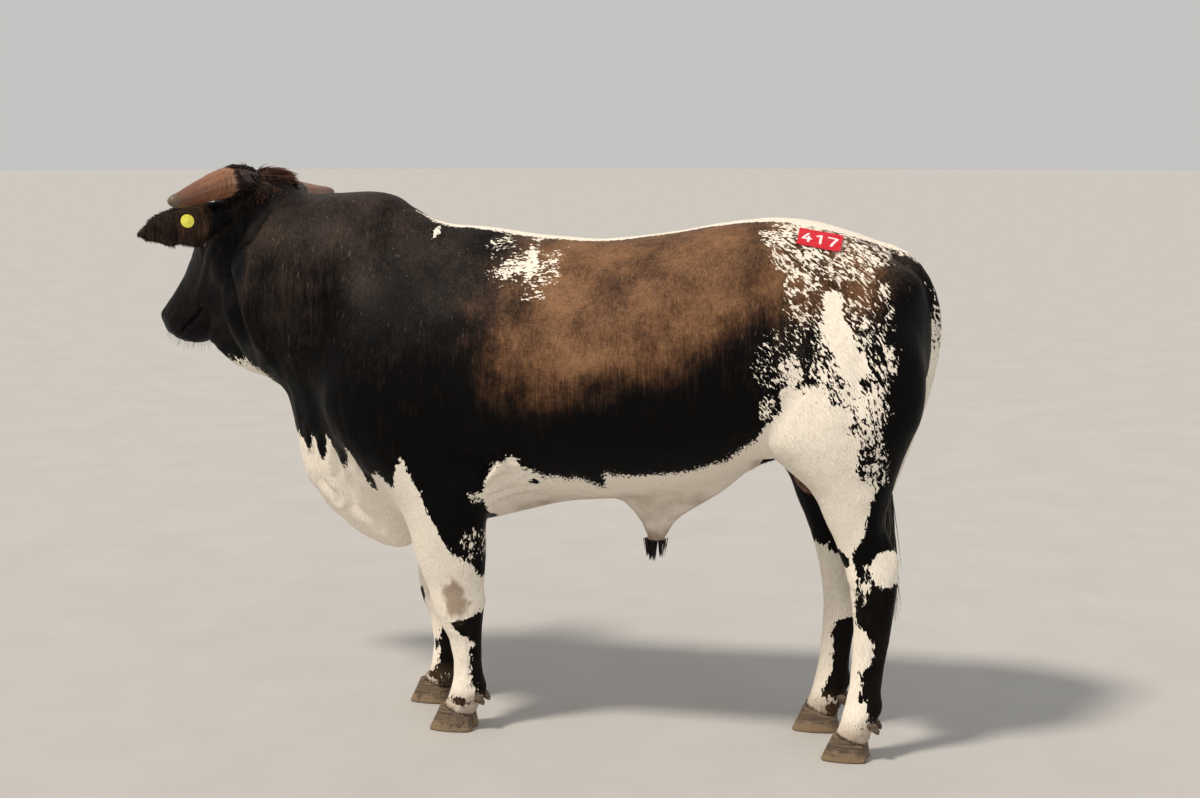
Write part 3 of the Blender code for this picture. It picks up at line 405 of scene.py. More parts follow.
body, other, ear = flesh_zones(points(skin.data))
evened(skin, body, BODY_ROUNDS, "body")
evened(skin, other, LEG_ROUNDS, "other")
along, left, height = head_axes(points(skin.data))
from_poll = np.linalg.norm(np.stack([along + 0.03, left * 0.8, height], 1), axis=1)
evened(skin, (1 - ease(from_poll, 0.10, 0.16)) * (np.abs(left) < 0.12), BODY_ROUNDS // 2, "poll")
from_jaw = np.linalg.norm(points(skin.data) - JAW_BACK, axis=1)
evened(skin, 1 - ease(from_jaw, 0.045, 0.085), BODY_ROUNDS // 2, "jaw")
finished(skin)
skin.vertex_groups.clear()
finer(skin.data, [(EYES["left"], 0.050), (EYES["right"], 0.050),
                  (head_place(*SNOUT), 0.090), (head_place(*CHIN), 0.075)])

places, out = points(skin.data), normals(skin.data)
body, other, ear = flesh_zones(places)
even = places.copy()
even[:, 1] = np.abs(places[:, 1] - MIDDLE)
legs = on_legs(places)
rise = lumps(even, LUMPS) + lumps(legs, LEG_LUMPS)
rise += (creases(even, CREASES, 0.4) + creases(legs, LEG_CREASES, 0.15)
         + creases(places, NEAR_CREASES, 0.6))
# loose skin: pleats down the throat and brisket, and slow unevenness everywhere
along, left, height = head_axes(places)
on_head = head_share(places, *HEAD_CLEAR)
loose = ((1 - ease(places[:, 0], -0.42, -0.20)) * (1 - ease(places[:, 2], 0.95, 1.25))
         * (1 - on_head))
pleat = np.sin((places[:, 0] * 0.9 + places[:, 2] * 0.22) / PLEAT_EVERY
               + 2.2 * rough(places, 0.10, 3) + 1.2 * rough(places, 0.035, 4))
rise += loose * (0.0009 * pleat + 0.0034 * rough(places, 0.055, 5, (0.6, 1, 2.6)))
rise += 0.0016 * rough(places, 0.085, 6) * (1 - on_head) * ease(places[:, 2], 0.5, 0.8)
rise += 0.0006 * rough(places, 0.026, 7) * (1 - on_head)
# wrinkled hide over the withers and behind the poll
withers = np.exp(-((places[:, 0] + 0.40) / 0.13) ** 2 - ((places[:, 2] - 1.42) / 0.07) ** 2)
nape = np.exp(-((places[:, 0] + 0.71) / 0.07) ** 2 - ((places[:, 2] - 1.50) / 0.05) ** 2)
rise += 0.0024 * withers * rough(places, 0.024, 10, (1.7, 1.0, 0.7)) * (1 - on_head)
rise += 0.0020 * nape * rough(places, 0.020, 11, (0.6, 1.0, 1.4)) * (1 - on_head)
# the cleft between the two claws of each foot
foot = 1 - ease(places[:, 2], 0.085, 0.125)
cleft = np.exp(-((legs[:, 1] - CLEFT_OUT) / CLEFT_WIDE) ** 2)
rise += -CLEFT_DEEP * foot * cleft
tail = (places[:, 0] > 1.00) & (np.abs(places[:, 1] - MIDDLE) < 0.045)
rise = np.where(tail, 0.2 * rise, rise)
# room for the mop between the horns
crown = ((1 - ease(np.abs(left), 0.07, 0.105)) * ease(along, -0.13, -0.07)
         * (1 - ease(along, 0.02, 0.07)))
rise -= MOP_ROOM * crown * (height > -0.08)
rise = np.where(ear, 0, rise)
lift = (rise - COAT_DEPTH * (1 - HEAD_COAT_THIN * on_head))[:, None]
places = places + out * lift * np.where(ear, 0.25, 1)[:, None]
move(skin.data, places)

# Head. The lids close to a slit over each eyeball, with a fold above and a bag below; nostrils
# are comma shaped pits with raised wings, and the lips meet in a line that runs back to a corner.
FACE_LUMPS = (                           # along, left or right, height; reach; height
    ((0.135, 0.118, -0.020), (0.028, 0.030, 0.022), -0.005),   # temple
    ((0.180, 0.095, 0.022), (0.045, 0.028, 0.020), 0.006),     # brow
    ((0.250, 0.075, 0.022), (0.050, 0.026, 0.026), -0.004),    # before the brow
    ((0.225, 0.112, -0.140), (0.075, 0.050, 0.070), 0.008),    # cheek
    ((0.325, 0.088, -0.118), (0.080, 0.035, 0.032), 0.009),    # below the cheek's ridge
    ((0.430, 0.078, -0.050), (0.030, 0.030, 0.060), -0.005),   # behind the muzzle
    ((0.520, 0.082, -0.075), (0.045, 0.040, 0.035), 0.008),    # upper lip
    ((0.550, 0.055, -0.010), (0.030, 0.026, 0.022), 0.006),    # over the nostril
    ((0.590, 0.000, -0.055), (0.020, 0.040, 0.035), 0.003),    # pad
    ((0.540, 0.030, -0.150), (0.034, 0.050, 0.022), 0.007),    # chin
    ((0.450, 0.050, -0.160), (0.030, 0.040, 0.020), -0.005),   # behind the chin
)
FACE_CREASES = (
    (((0.215, 0.112, -0.070), (0.290, 0.100, -0.080), (0.360, 0.086, -0.086),
      (0.420, 0.076, -0.088)), 0.012, 0.0045),
    (((0.430, 0.060, -0.165), (0.360, 0.075, -0.180), (0.280, 0.090, -0.200),
      (0.190, 0.100, -0.215), (0.120, 0.110, -0.190)), 0.016, -0.0070),
    (((0.150, 0.095, 0.022), (0.185, 0.082, 0.040), (0.225, 0.070, 0.040)), 0.007, -0.0018),
    (((0.240, 0.108, -0.088), (0.205, 0.116, -0.088), (0.175, 0.118, -0.074)), 0.006, -0.0022),
    (((0.425, 0.070, -0.125), (0.405, 0.072, -0.108), (0.395, 0.074, -0.085)), 0.009, -0.0034),
    (((0.450, 0.072, -0.095), (0.432, 0.074, -0.075), (0.430, 0.074, -0.050)), 0.008, -0.0020),
    (((0.545, 0.060, -0.060), (0.500, 0.080, -0.055), (0.470, 0.080, -0.030)), 0.007, -0.0022),
    (((0.600, 0.000, -0.095), (0.605, 0.000, -0.070), (0.600, 0.000, -0.045)), 0.0035, -0.0022),
)
LIPS = ((0.415, -0.122), (0.455, -0.119), (0.500, -0.113), (0.545, -0.109), (0.640, -0.106))
LIP_DEEP, LIP_WIDE = 0.0085, 0.0034
SLIT, TOP_LID, LOW_LID = 0.96, 0.54, 0.35    # half length and half heights, as angles at the eye
LID_BOW = 0.75
NOSTRIL_AT = (0.570, 0.047, -0.038)
NOSTRIL_WIDE, NOSTRIL_TALL, NOSTRIL_DEEP, NOSTRIL_WING = 0.0100, 0.0200, 0.021, 0.0042
NOSTRIL_CURVE = 14.0


def eye_frame(side):
    """Out of the eye, along its slit to the nose, and up over it."""
    sign = 1 if side == "left" else -1
    outward = (LEFT * sign * 0.93 + AHEAD * 0.30 + CROWN * 0.12).normalized()
    slit = (FACE - outward * FACE.dot(outward)).normalized()
    above = outward.cross(slit) * sign
    if above.dot(CROWN) < 0:
        above = -above
    return [np.array(v) for v in (outward, slit, above)]


def lidded(places):
    rims = np.zeros(len(places))
    for side, centre in EYES.items():
        outward, slit, above = eye_frame(side)
        away = places - np.array(centre)
        depth, across, up = away @ outward, away @ slit, away @ above
        far = np.linalg.norm(away, axis=1)
        ahead = np.maximum(depth, 1e-4)
        turn, lift = np.arctan2(across, ahead), np.arctan2(up, ahead)
        bow = np.clip(1 - (turn / SLIT) ** 2, 0, 1) ** LID_BOW
        gap = np.maximum(lift - TOP_LID * bow, -LOW_LID * bow - lift)
        gap = np.where(np.abs(turn) > SLIT, np.hypot(np.abs(turn) - SLIT, lift), gap)
        near = (far < 0.046) & (depth > 0.002)
        rim = (EYE_RADIUS + 0.0006 + 0.0030 * ease(gap, 0.0, 0.16)
               - 0.0012 * np.exp(-((gap - 0.42) / 0.10) ** 2))
        keep = ease(gap, 0.34, 0.85)
        wanted = np.where(gap < 0, EYE_RADIUS - 0.0035, rim * (1 - keep) + far * keep)
        wanted = np.where(gap < 0, wanted, np.maximum(wanted, EYE_RADIUS + 0.0004))
        scale = np.where(near, wanted / np.maximum(far, 1e-4), 1)
        places = np.array(centre) + away * scale[:, None]
        rims = np.maximum(rims, ease(gap, 0.16, 0.40) * (1 - ease(far, 0.044, 0.056))
                          * (depth > -0.01))
    return soothed(places, edges(skin.data), 24, rims, shrink=True)


def nostrilled(places):
    for sign in (1, -1):
        centre = np.array(head_place(NOSTRIL_AT[0], NOSTRIL_AT[1] * sign, NOSTRIL_AT[2]))
        outward = (FACE * 0.62 + LEFT * sign * 0.70 + CROWN * 0.16).normalized()
        tall = (CROWN * 0.85 - FACE * 0.45 + LEFT * sign * 0.25)
        tall = (tall - outward * tall.dot(outward)).normalized()
        wide = outward.cross(tall)
        away = places - centre
        x, y, z = away @ np.array(wide) * sign, away @ np.array(tall), away @ np.array(outward)
        x = x + NOSTRIL_CURVE * y * y - 0.003
        ring = np.sqrt((x / NOSTRIL_WIDE) ** 2 + (y / NOSTRIL_TALL) ** 2)
        near = np.abs(z) < 0.035
        change = np.where(near, -NOSTRIL_DEEP * (1 - ease(ring, 0.45, 1.12))
                          + NOSTRIL_WING * np.exp(-((ring - 1.45) / 0.38) ** 2), 0)
        places = places + np.array(outward) * change[:, None]
    return places


places = nostrilled(lidded(points(skin.data)))
move(skin.data, places)
out = normals(skin.data)
along, left, height = head_axes(places)
in_head = np.stack([along, np.abs(left), height], 1)
rise = lumps(in_head, FACE_LUMPS) + creases(in_head, FACE_CREASES, 0.5)
mouth = line_distance(in_head[:, [0, 2]], LIPS)
rise += (-LIP_DEEP * np.exp(-(mouth / LIP_WIDE) ** 2)
         + 0.0026 * np.exp(-((mouth - 0.0100) / 0.005) ** 2))
near_head = head_share(places, *HEAD_CLEAR)
muzzle = ease(along, 0.44, 0.54) * near_head
rise = (rise * near_head + 0.0007 * rough(places, 0.016, 8) * near_head
        + 0.0006 * muzzle * rough(places, 0.007, 9))
lid_zone = np.zeros(len(places))
for centre in EYES.values():
    from_eye = np.linalg.norm(places - np.array(centre), axis=1)
    lid_zone = np.maximum(lid_zone, 1 - ease(from_eye, 0.026, 0.036))
places = places + out * (rise * (1 - lid_zone))[:, None]
move(skin.data, places)

thin_out = skin.modifiers.new("thin", "DECIMATE")
faces_now = sum(len(face.vertices) - 2 for face in skin.data.polygons)
thin_out.ratio = min(1, SKIN_FACES / faces_now)
finished(skin)

# Coat. Short and flat, black-brown, bleached by the sun over the ribs, and white below, on the
# legs, along the back and over the rump, where the two run together in flecks drawn out along
# the lie of the hair. Dust and painted top light lighten the dark coat toward the top, dirt lies
# on the feet and lower legs, and painted shade lies under the belly. The same marks are worked
# out for the skin and for every tuft on it.
UNDERLINE = (                            # along, level: white lies below this line
    (-0.80, 0.82), (-0.66, 0.825), (-0.62, 0.80), (-0.605, 0.765), (-0.590, 0.82), (-0.575, 0.80),
    (-0.560, 0.745), (-0.545, 0.75), (-0.530, 0.815), (-0.505, 0.80), (-0.490, 0.765),
    (-0.475, 0.735), (-0.455, 0.745), (-0.435, 0.80), (-0.410, 0.80), (-0.395, 0.70),
    (-0.375, 0.675), (-0.355, 0.74), (-0.325, 0.735), (-0.305, 0.695), (-0.285, 0.71),
    (-0.265, 0.79), (-0.245, 0.78), (-0.215, 0.71), (-0.195, 0.65), (-0.170, 0.595),
    (-0.145, 0.535), (-0.115, 0.495), (-0.085, 0.465), (-0.066, 0.40), (-0.056, 0.39),
    (-0.046, 0.70), (-0.01, 0.77), (0.055, 0.812), (0.09, 0.775), (0.14, 0.75), (0.24, 0.745),
    (0.30, 0.715), (0.36, 0.735), (0.52, 0.762), (0.61, 0.80), (0.70, 0.86), (0.75, 0.90),
    (0.80, 1.00), (1.00, 0.95), (1.03, 0.76), (1.2, 0.72))
BACK_STRIPE = (
    (-0.30, 0.0), (-0.24, 0.022), (0.0, 0.042), (0.30, 0.052), (0.55, 0.062), (0.70, 0.075),
    (0.80, 0.080), (0.90, 0.066), (0.98, 0.042), (1.06, 0.014), (1.12, 0.0))
NEAR_HIND = (                            # level, along: white in front of this line
    (0.05, 1.04), (0.09, 1.014), (0.13, 1.010), (0.17, 1.000), (0.20, 0.990), (0.235, 0.978),
    (0.25, 0.984), (0.27, 1.012), (0.30, 1.018), (0.33, 1.012), (0.355, 1.000), (0.37, 0.975),
    (0.39, 0.964), (0.45, 0.970), (0.52, 0.980), (0.555, 0.955), (0.58, 0.968), (0.61, 0.988),
    (0.67, 1.002), (0.72, 1.014), (0.76, 1.030), (0.80, 1.050))
FAR_HIND = (
    (0.05, 0.990), (0.09, 0.955), (0.12, 0.962), (0.16, 0.985), (0.20, 0.992), (0.26, 0.992),
    (0.32, 0.990), (0.335, 1.075), (0.49, 1.075), (0.515, 1.000), (0.545, 0.955), (0.57, 0.900),
    (0.62, 0.850), (0.70, 0.800))
NEAR_FORE = (
    (0.04, -0.060), (0.09, -0.075), (0.11, -0.090), (0.15, -0.102), (0.18, -0.100),
    (0.235, -0.106), (0.25, -0.095), (0.27, -0.100), (0.285, -0.125), (0.295, -0.150),
    (0.318, -0.150), (0.333, -0.090), (0.36, -0.062), (0.40, -0.055), (0.45, -0.072),
    (0.50, -0.092), (0.53, -0.115), (0.57, -0.160), (0.67, -0.210))
FAR_FORE = (
    (0.04, -0.120), (0.06, -0.130), (0.09, -0.146), (0.13, -0.136), (0.165, -0.134),
    (0.175, -0.150), (0.20, -0.132), (0.24, -0.125), (0.255, -0.120), (0.275, -0.020),
    (0.52, -0.020), (0.60, -0.10))
RUMP = (                                 # middle, half size, turn, whiteness, soft rim
    ((0.850, 1.150), (0.105, 0.185), 0.10, -0.25, 0.40),   # before the blaze
    ((0.805, 1.270), (0.050, 0.060), 0.00, -0.26, 0.50),
    ((0.760, 1.080), (0.085, 0.120), -0.25, -0.30, 0.55),  # thin flecks on the flank
    ((0.800, 1.050), (0.055, 0.050), 0.00, -0.05, 0.60),
    ((0.745, 0.960), (0.040, 0.060), -0.40, -0.10, 0.60),
    ((0.985, 1.215), (0.110, 0.105), 0.00, -0.28, 0.35),   # behind the blaze
    ((1.025, 1.080), (0.070, 0.120), 0.00, -0.22, 0.40),
    ((0.985, 0.960), (0.105, 0.085), 0.00, 0.00, 0.40),
    ((1.015, 0.830), (0.060, 0.115), 0.00, -0.08, 0.40),
    ((0.870, 1.375), (0.235, 0.120), -0.10, -0.02, 0.40),   # round the hip
    ((0.985, 1.380), (0.060, 0.030), -0.30, -0.32, 0.60),
    ((0.840, 1.400), (0.130, 0.050), -0.15, 0.10, 0.60),
    ((0.850, 1.290), (0.085, 0.045), 0.00, -0.12, 0.80),
    ((1.005, 1.365), (0.065, 0.035), -0.40, -0.20, 0.50),
    ((0.905, 1.045), (0.055, 0.050), 0.00, 0.06, 0.60),
    ((0.905, 1.215), (0.028, 0.060), 0.05, 1.50, 0.45),    # the blaze itself
    ((0.932, 1.140), (0.038, 0.080), 0.40, 1.50, 0.45),
    ((0.965, 1.075), (0.044, 0.055), 0.45, 1.30, 0.50),
    ((0.860, 0.975), (0.080, 0.060), 0.10, 0.80, 0.50),
    ((0.950, 0.990), (0.060, 0.065), 0.00, 0.14, 0.60),
    ((0.880, 0.925), (0.110, 0.050), 0.20, 1.30, 0.45),
    ((1.000, 0.930), (0.052, 0.100), 0.00, 0.04, 0.50),
    ((0.800, 0.990), (0.038, 0.034), -0.60, 1.10, 0.50),
    ((0.830, 0.860), (0.130, 0.100), 0.00, 1.50, 0.40),
    ((0.690, 1.300), (0.070, 0.105), 0.00, -1.40, 0.40),   # and dark again
    ((1.100, 1.250), (0.052, 0.085), 0.00, -1.50, 0.30))
SHOULDER = (
    ((0.050, 1.300), (0.190, 0.110), 0.00, -0.37, 0.90),
    ((-0.030, 1.358), (0.062, 0.034), 0.10, -0.13, 0.60),
    ((0.016, 1.305), (0.032, 0.042), 0.10, 0.06, 0.60),
    ((0.138, 1.296), (0.050, 0.062), 0.00, -0.06, 0.60),
    ((0.105, 1.245), (0.080, 0.055), 0.00, -0.20, 0.80),
    ((0.155, 1.352), (0.040, 0.028), 0.00, -0.30, 0.80),
    ((0.066, 1.365), (0.030, 0.035), 0.00, -0.08, 0.60),
    ((0.080, 1.312), (0.036, 0.046), 0.00, 0.34, 0.70),
    ((0.440, 0.690), (0.026, 0.010), 0.00, -1.30, 0.60),   # small dark spots on the belly
    ((0.505, 0.748), (0.026, 0.008), -0.15, -1.30, 0.60),
    ((0.108, 0.733), (0.016, 0.012), 0.30, -1.20, 0.60),
    ((-0.062, 0.680), (0.032, 0.036), 0.00, -0.02, 0.80),  # flecks down the forearm
    ((-0.080, 0.545), (0.062, 0.085), 0.00, -0.17, 0.70),
    ((-0.228, 1.388), (0.014, 0.022), 0.10, 0.60, 0.50))
TAIL_FRONT = (                           # level, along: the tail lies behind this line
    (0.50, 0.980), (0.66, 0.992), (0.74, 1.017), (0.835, 1.050), (0.93, 1.080), (1.03, 1.102),
    (1.12, 1.112), (1.20, 1.104), (1.27, 1.085), (1.33, 1.10))
LEGS = {                                 # hind, far: line, ovals as above, where it meets the body
    (True, False): (NEAR_HIND, (
        ((1.050, 0.530), (0.050, 0.060), 0.0, 1.20, 0.35),
        ((1.010, 0.530), (0.025, 0.020), 0.0, 0.90, 0.50),
        ((0.928, 0.553), (0.040, 0.022), -0.8, -0.80, 0.40),
        ((0.990, 0.480), (0.032, 0.085), 0.0, -0.35, 0.50),
        ((0.985, 0.175), (0.012, 0.014), 0.0, -0.90, 0.50)), (0.72, 0.80)),
    (True, True): (FAR_HIND, (
        ((0.885, 0.150), (0.030, 0.100), 0.0, 1.20, 0.40),), (0.72, 0.80)),
    (False, False): (NEAR_FORE, (
        ((-0.080, 0.545), (0.062, 0.085), 0.0, -0.17, 0.70),), (0.46, 0.54)),
    (False, True): (FAR_FORE, (
        ((-0.200, 0.460), (0.020, 0.030), 0.5, -0.60, 0.40),
        ((-0.190, 0.315), (0.016, 0.040), 0.0, -0.70, 0.40)), (0.46, 0.54))}
PASTERN = {True: ((0.99, 0.095), (0.06, 0.020), 0.0, 0.45, 0.50),
           False: ((-0.13, 0.088), (0.07, 0.018), 0.0, -0.45, 0.50)}
SIDE_EDGE, LEG_EDGE, STRIPE_EDGE = 0.020, 0.012, 0.014    # how far white takes to turn dark
DARK, WHITE = -1.5, 1.5                  # wholly dark and wholly white, with the edge at 0
THROAT = (-0.850, 0.945), (0.125, 0.065)    # middle and half size of a few spots
KNEE = (-0.132, 0.385), (0.055, 0.100)
SCROTUM, UNDER_TAIL = ((0.828, 0.735), (0.085, 0.075)), ((1.075, 1.16), (0.05, 0.06))
TAIL_WHITE = (                           # level, whiteness
    (0.50, -1.5), (0.56, -0.2), (0.62, 1.0), (1.05, 0.8), (1.15, 0.1), (1.25, -0.6),
    (1.40, -0.9))
SUN_LOW = (                              # along, level: the browned coat starts here
    (-0.10, 0.90), (0.00, 0.82), (0.20, 0.82), (0.38, 0.905))
SUN_ALONG = (                            # along, how strong
    (-0.38, 0.0), (-0.15, 0.20), (0.0, 0.50), (0.16, 0.95), (0.6, 0.98), (0.98, 0.8),
    (1.07, 0.1))
EAR_SUN, EAR_DUST = 0.34, 0.45
FAR_PATCHES = (
    ((0.220, 1.200), (0.130, 0.100), 0.40, -0.05, 0.50),
    ((0.235, 1.215), (0.055, 0.045), 0.40, 0.50, 0.60),
    ((-0.200, 1.300), (0.080, 0.070), 0.00, -0.25, 0.50))


def along_line(value, line):
    return np.interp(value, [p[0] for p in line], [p[1] for p in line])


def spot(a, b, centre, reach, turn=0.0):
    """1 at the middle of an oval, 0 on its rim, and below 0 outside it."""
    x, y = a - centre[0], b - centre[1]
    c, s = math.cos(turn), math.sin(turn)
    return 1 - np.hypot((x * c + y * s) / reach[0], (-x * s + y * c) / reach[1])


def patched(marks, x, z, ovals):
    """Lays ovals of white (over 0) and dark (under 0) over the marks."""
    for middle, half, turn, strength, soft in ovals:
        share = np.clip(spot(x, z, middle, half, turn) / soft, 0, 1)
        share = share * share * (3 - 2 * share)
        marks = marks * (1 - share) + strength * share
    return marks


def side_marks(x, z, far):
    """White over 0, dark under 0, on one side of the bull; far is its right side."""
    white = np.full(len(x), DARK)
    under = along_line(x, UNDERLINE) + (0.02 * np.sin(17 * x) if far else 0)
    white = np.maximum(white, np.clip((under - z) / SIDE_EDGE, DARK, WHITE))
    slip = 0.04 * np.sin(9 * z) if far else 0.0
    white = patched(white, x - slip, z, RUMP)
    return patched(white, x, z, FAR_PATCHES if far else SHOULDER)


def leg_marks(x, z, far, hind, white):
    """The lower legs, each with its own patches. x has a right foot's step taken out."""
    line, ovals, top = LEGS[hind, far]
    low = np.clip((along_line(z, line) - x) / LEG_EDGE, DARK, WHITE)
    low = patched(low, x, z, ovals + (PASTERN[hind],))
    turn = 1 - ease(z, *top)
    return white * (1 - turn) + low * turn


def whiteness(places, legs, aside, on_head):
    """White over 0, dark under 0, at each place of the whole bull."""
    x, z = places[:, 0], places[:, 2]
    right = ease(places[:, 1], MIDDLE - 0.012, MIDDLE + 0.012)
    sides = []
    for far in (False, True):
        white = side_marks(x, z, far)
        for hind in (False, True):
            mine = (x > 0.3) == hind
            own = leg_marks(legs[:, 0], z, far, hind, white)
            white = np.where(mine & (z < 0.80), own, white)
        sides.append(white)
    white = sides[0] * (1 - right) + sides[1] * right
    # edges run down in drips, longest on the brisket
    fore = 1 - ease(x, -0.36, -0.20)
    drips = ((0.28 + 0.45 * fore) * rough(places, 0.017, 23, (1, 1, 3.0))
             + 0.22 * rough(places, 0.036, 24))
    white = white + drips * (1 - ease(np.abs(white), 1.30, WHITE))
    stripe = (along_line(x, BACK_STRIPE) - aside) / STRIPE_EDGE
    stripe = np.where((z > 1.30) & (x > -0.31), np.clip(stripe, DARK, 1.2), DARK)
    white = np.maximum(white, stripe)
    # head and neck are dark but for the throat, and the far thigh is dark on its inner side
    white = white * (1 - on_head) + DARK * on_head
    neck = (x < -0.55) & (z > 0.90)
    white = np.where(neck, DARK, white)
    throat = np.clip(spot(x, z, *THROAT) * 2.2 - 0.2, DARK, 1)
    white = np.maximum(white, np.where(x < -0.55, throat, DARK))
    inner = (x > 0.6) & (aside < 0.165) & (z > 0.53) & (z < 0.86)
    white = np.where(inner & (places[:, 1] > MIDDLE), np.clip((0.53 - z) / SIDE_EDGE, DARK, WHITE),
                     white)
    tail = (aside < 0.034) & (z > 0.5) & (z < 1.33) & (x > along_line(z, TAIL_FRONT))
    return np.where(tail, along_line(z, TAIL_WHITE), white)


def weathered_and_lit(places, on_ear):
    """How far the sun has browned the coat at each place, and how much dust and painted top light
    lie on it.
    """
    x, z = places[:, 0], places[:, 2]
    warm = ease(x, 0.45, 0.72)
    low = along_line(x, SUN_LOW) + 0.17 * warm
    sun = ease(z, low, low + 0.235 - 0.05 * warm) * along_line(x, SUN_ALONG)
    sun = (sun * (0.86 + 0.22 * rough(places, 0.13, 21))
           + 0.12 * rough(places, 0.055, 22) * ease(sun, 0.1, 0.5))
    # dust and painted top light: the dark coat lightens with height
    dust_and_top_light = ease(z, 0.85, 1.50) * (0.68 + 0.40 * rough(places, 0.11, 26))
    # none ahead of the neck's front edge, so the hollow before it and the head stay dark
    dust_and_top_light = (dust_and_top_light * (1 - ease(x, 0.95, 1.05) * (1 - 0.8 * ease(z, 1.18, 1.32)))
            * ease(x, -0.805, -0.760))
    dust_and_top_light = dust_and_top_light * (1 - 0.28 * ease(x, -0.50, -0.30) * (1 - ease(x, -0.10, 0.10)))
    sun, dust_and_top_light = sun * (1 - on_ear) + EAR_SUN * on_ear, dust_and_top_light * (1 - on_ear) + EAR_DUST * on_ear
    return np.clip(sun, 0, 1), dust_and_top_light


def dirtied_and_shaded(places, legs):
    """Dirt on feet, near knee and lower legs, and painted shade under the belly."""
    x, z = places[:, 0], places[:, 2]
    dirt_and_shade = (1 - ease(z, 0.04, 0.20)) * 0.85
    knee = ease(spot(legs[:, 0], z, *KNEE) + 0.35 * rough(places, 0.016, 25), -0.1, 1.0)
    dirt_and_shade = np.maximum(dirt_and_shade, 1.35 * knee * (x < 0) * (places[:, 1] < MIDDLE))
    dirt_and_shade = np.maximum(dirt_and_shade, 0.33 * (1 - ease(z, 0.45, 0.75)))
    # painted shade under the belly, between the fore and hind legs
    belly_shade = ((1 - ease(z, 0.64, 0.78)) * ease(x, -0.06, 0.04) * (1 - ease(x, 0.66, 0.78))
            * ease(z, 0.46, 0.52))
    # the sheath's end is darkest
    belly_shade = (belly_shade * (0.62 + 0.16 * rough(places, 0.05, 28))
            + 0.55 * (1 - ease(z, 0.535, 0.600)) * (np.abs(x - 0.43) < 0.08))
    return np.maximum(dirt_and_shade, belly_shade * (z > 0.5) * (np.abs(x - 0.33) < 0.45))


def coat_marks(places):
    """What the coat reads at each place: its colours, dust and dirt, painted light and shade, and
    how its hair runs.
    """
    x, z = places[:, 0], places[:, 2]
    aside = np.abs(places[:, 1] - MIDDLE)
    legs = on_legs(places)
    along, left, height = head_axes(places)
    on_head = head_share(places, 0.20, 0.23) * (z > 0.98)
    on_ear = ease(np.abs(left), 0.150, 0.200) * (along < 0.20) * (x < -0.66) * (z > 1.2)
    sun, dust_and_top_light = weathered_and_lit(places, on_ear)
    scrotum = ease(spot(x, z, *SCROTUM), 0, 0.3) * (aside < 0.075)
    under_tail = ease(spot(x, z, *UNDER_TAIL), 0, 0.5) * (aside < 0.035) * (x < 1.13)
    muzzle = ease(along, 0.525, 0.560) * ease(height, -0.115, -0.085) * (np.abs(left) < 0.09)
    upright = np.maximum(1 - ease(z, 0.50, 0.72), 1 - ease(x, -0.25, -0.05))
    return {"white": whiteness(places, legs, aside, on_head), "sun": sun, "dust_and_top_light": dust_and_top_light,
            "dirt_and_shade": dirtied_and_shaded(places, legs), "bare": np.maximum(scrotum, under_tail),
            "muzzle": muzzle * on_head, "head": on_head, "upright": upright,
            "comb": combed(places)}


HAIR_TURN = (0.16, 0.55)                 # hair lies back, then round this point and down the thigh
HAIR_REACH = 0.72


def combed(places):
    """The place measured along the hair, across it, and out from the middle."""
    x, z = places[:, 0] - HAIR_TURN[0], places[:, 2] - HAIR_TURN[1]
    reach = np.hypot(np.maximum(x, 0), np.maximum(z, 0))
    angle = np.arctan2(np.maximum(x, 0), np.maximum(z, 1e-6))
    round_along = angle * HAIR_REACH
    along = np.where(x < 0, x, np.where(z > 0, round_along, HAIR_REACH * math.pi / 2 - z))
    across = np.where(x < 0, z, np.where(z > 0, reach, x))
    return np.stack([along, across, places[:, 1]], 1)


def hair_lie(places):
    """The way the hair points at each place."""
    x, z = places[:, 0] - HAIR_TURN[0], places[:, 2] - HAIR_TURN[1]
    angle = np.arctan2(np.maximum(x, 0), np.maximum(z, 1e-6))
    angle = np.where(z <= 0, math.pi / 2, angle)
    angle = np.maximum(angle, 0.30)
    front = 1 - ease(places[:, 0], -0.30, 0.00)
    angle = angle * (1 - front) + 0.95 * front
    low = 1 - ease(places[:, 2], 0.55, 0.85)
    angle = angle * (1 - low) + math.pi / 2 * low
    lie = np.stack([np.cos(angle), np.zeros(len(angle)), -np.sin(angle)], 1)
    on_head = head_share(places, 0.19, 0.24)
    lie = lie * (1 - on_head)[:, None] + np.array(FACE)[None] * on_head[:, None]
    return lie / np.linalg.norm(lie, axis=1)[:, None]


def give(mesh, name, values):
    """A number or a vector for each vertex, which the materials read by name."""
    kind = "FLOAT_VECTOR" if values.ndim == 2 else "FLOAT"
    made = mesh.attributes.new(name, kind, "POINT")
    made.data.foreach_set("vector" if values.ndim == 2 else "value",
                          values.astype(np.float32).ravel())


def mark(mesh, roots):
    give(mesh, "root", roots)
    for name, values in coat_marks(roots).items():
        give(mesh, name, values)


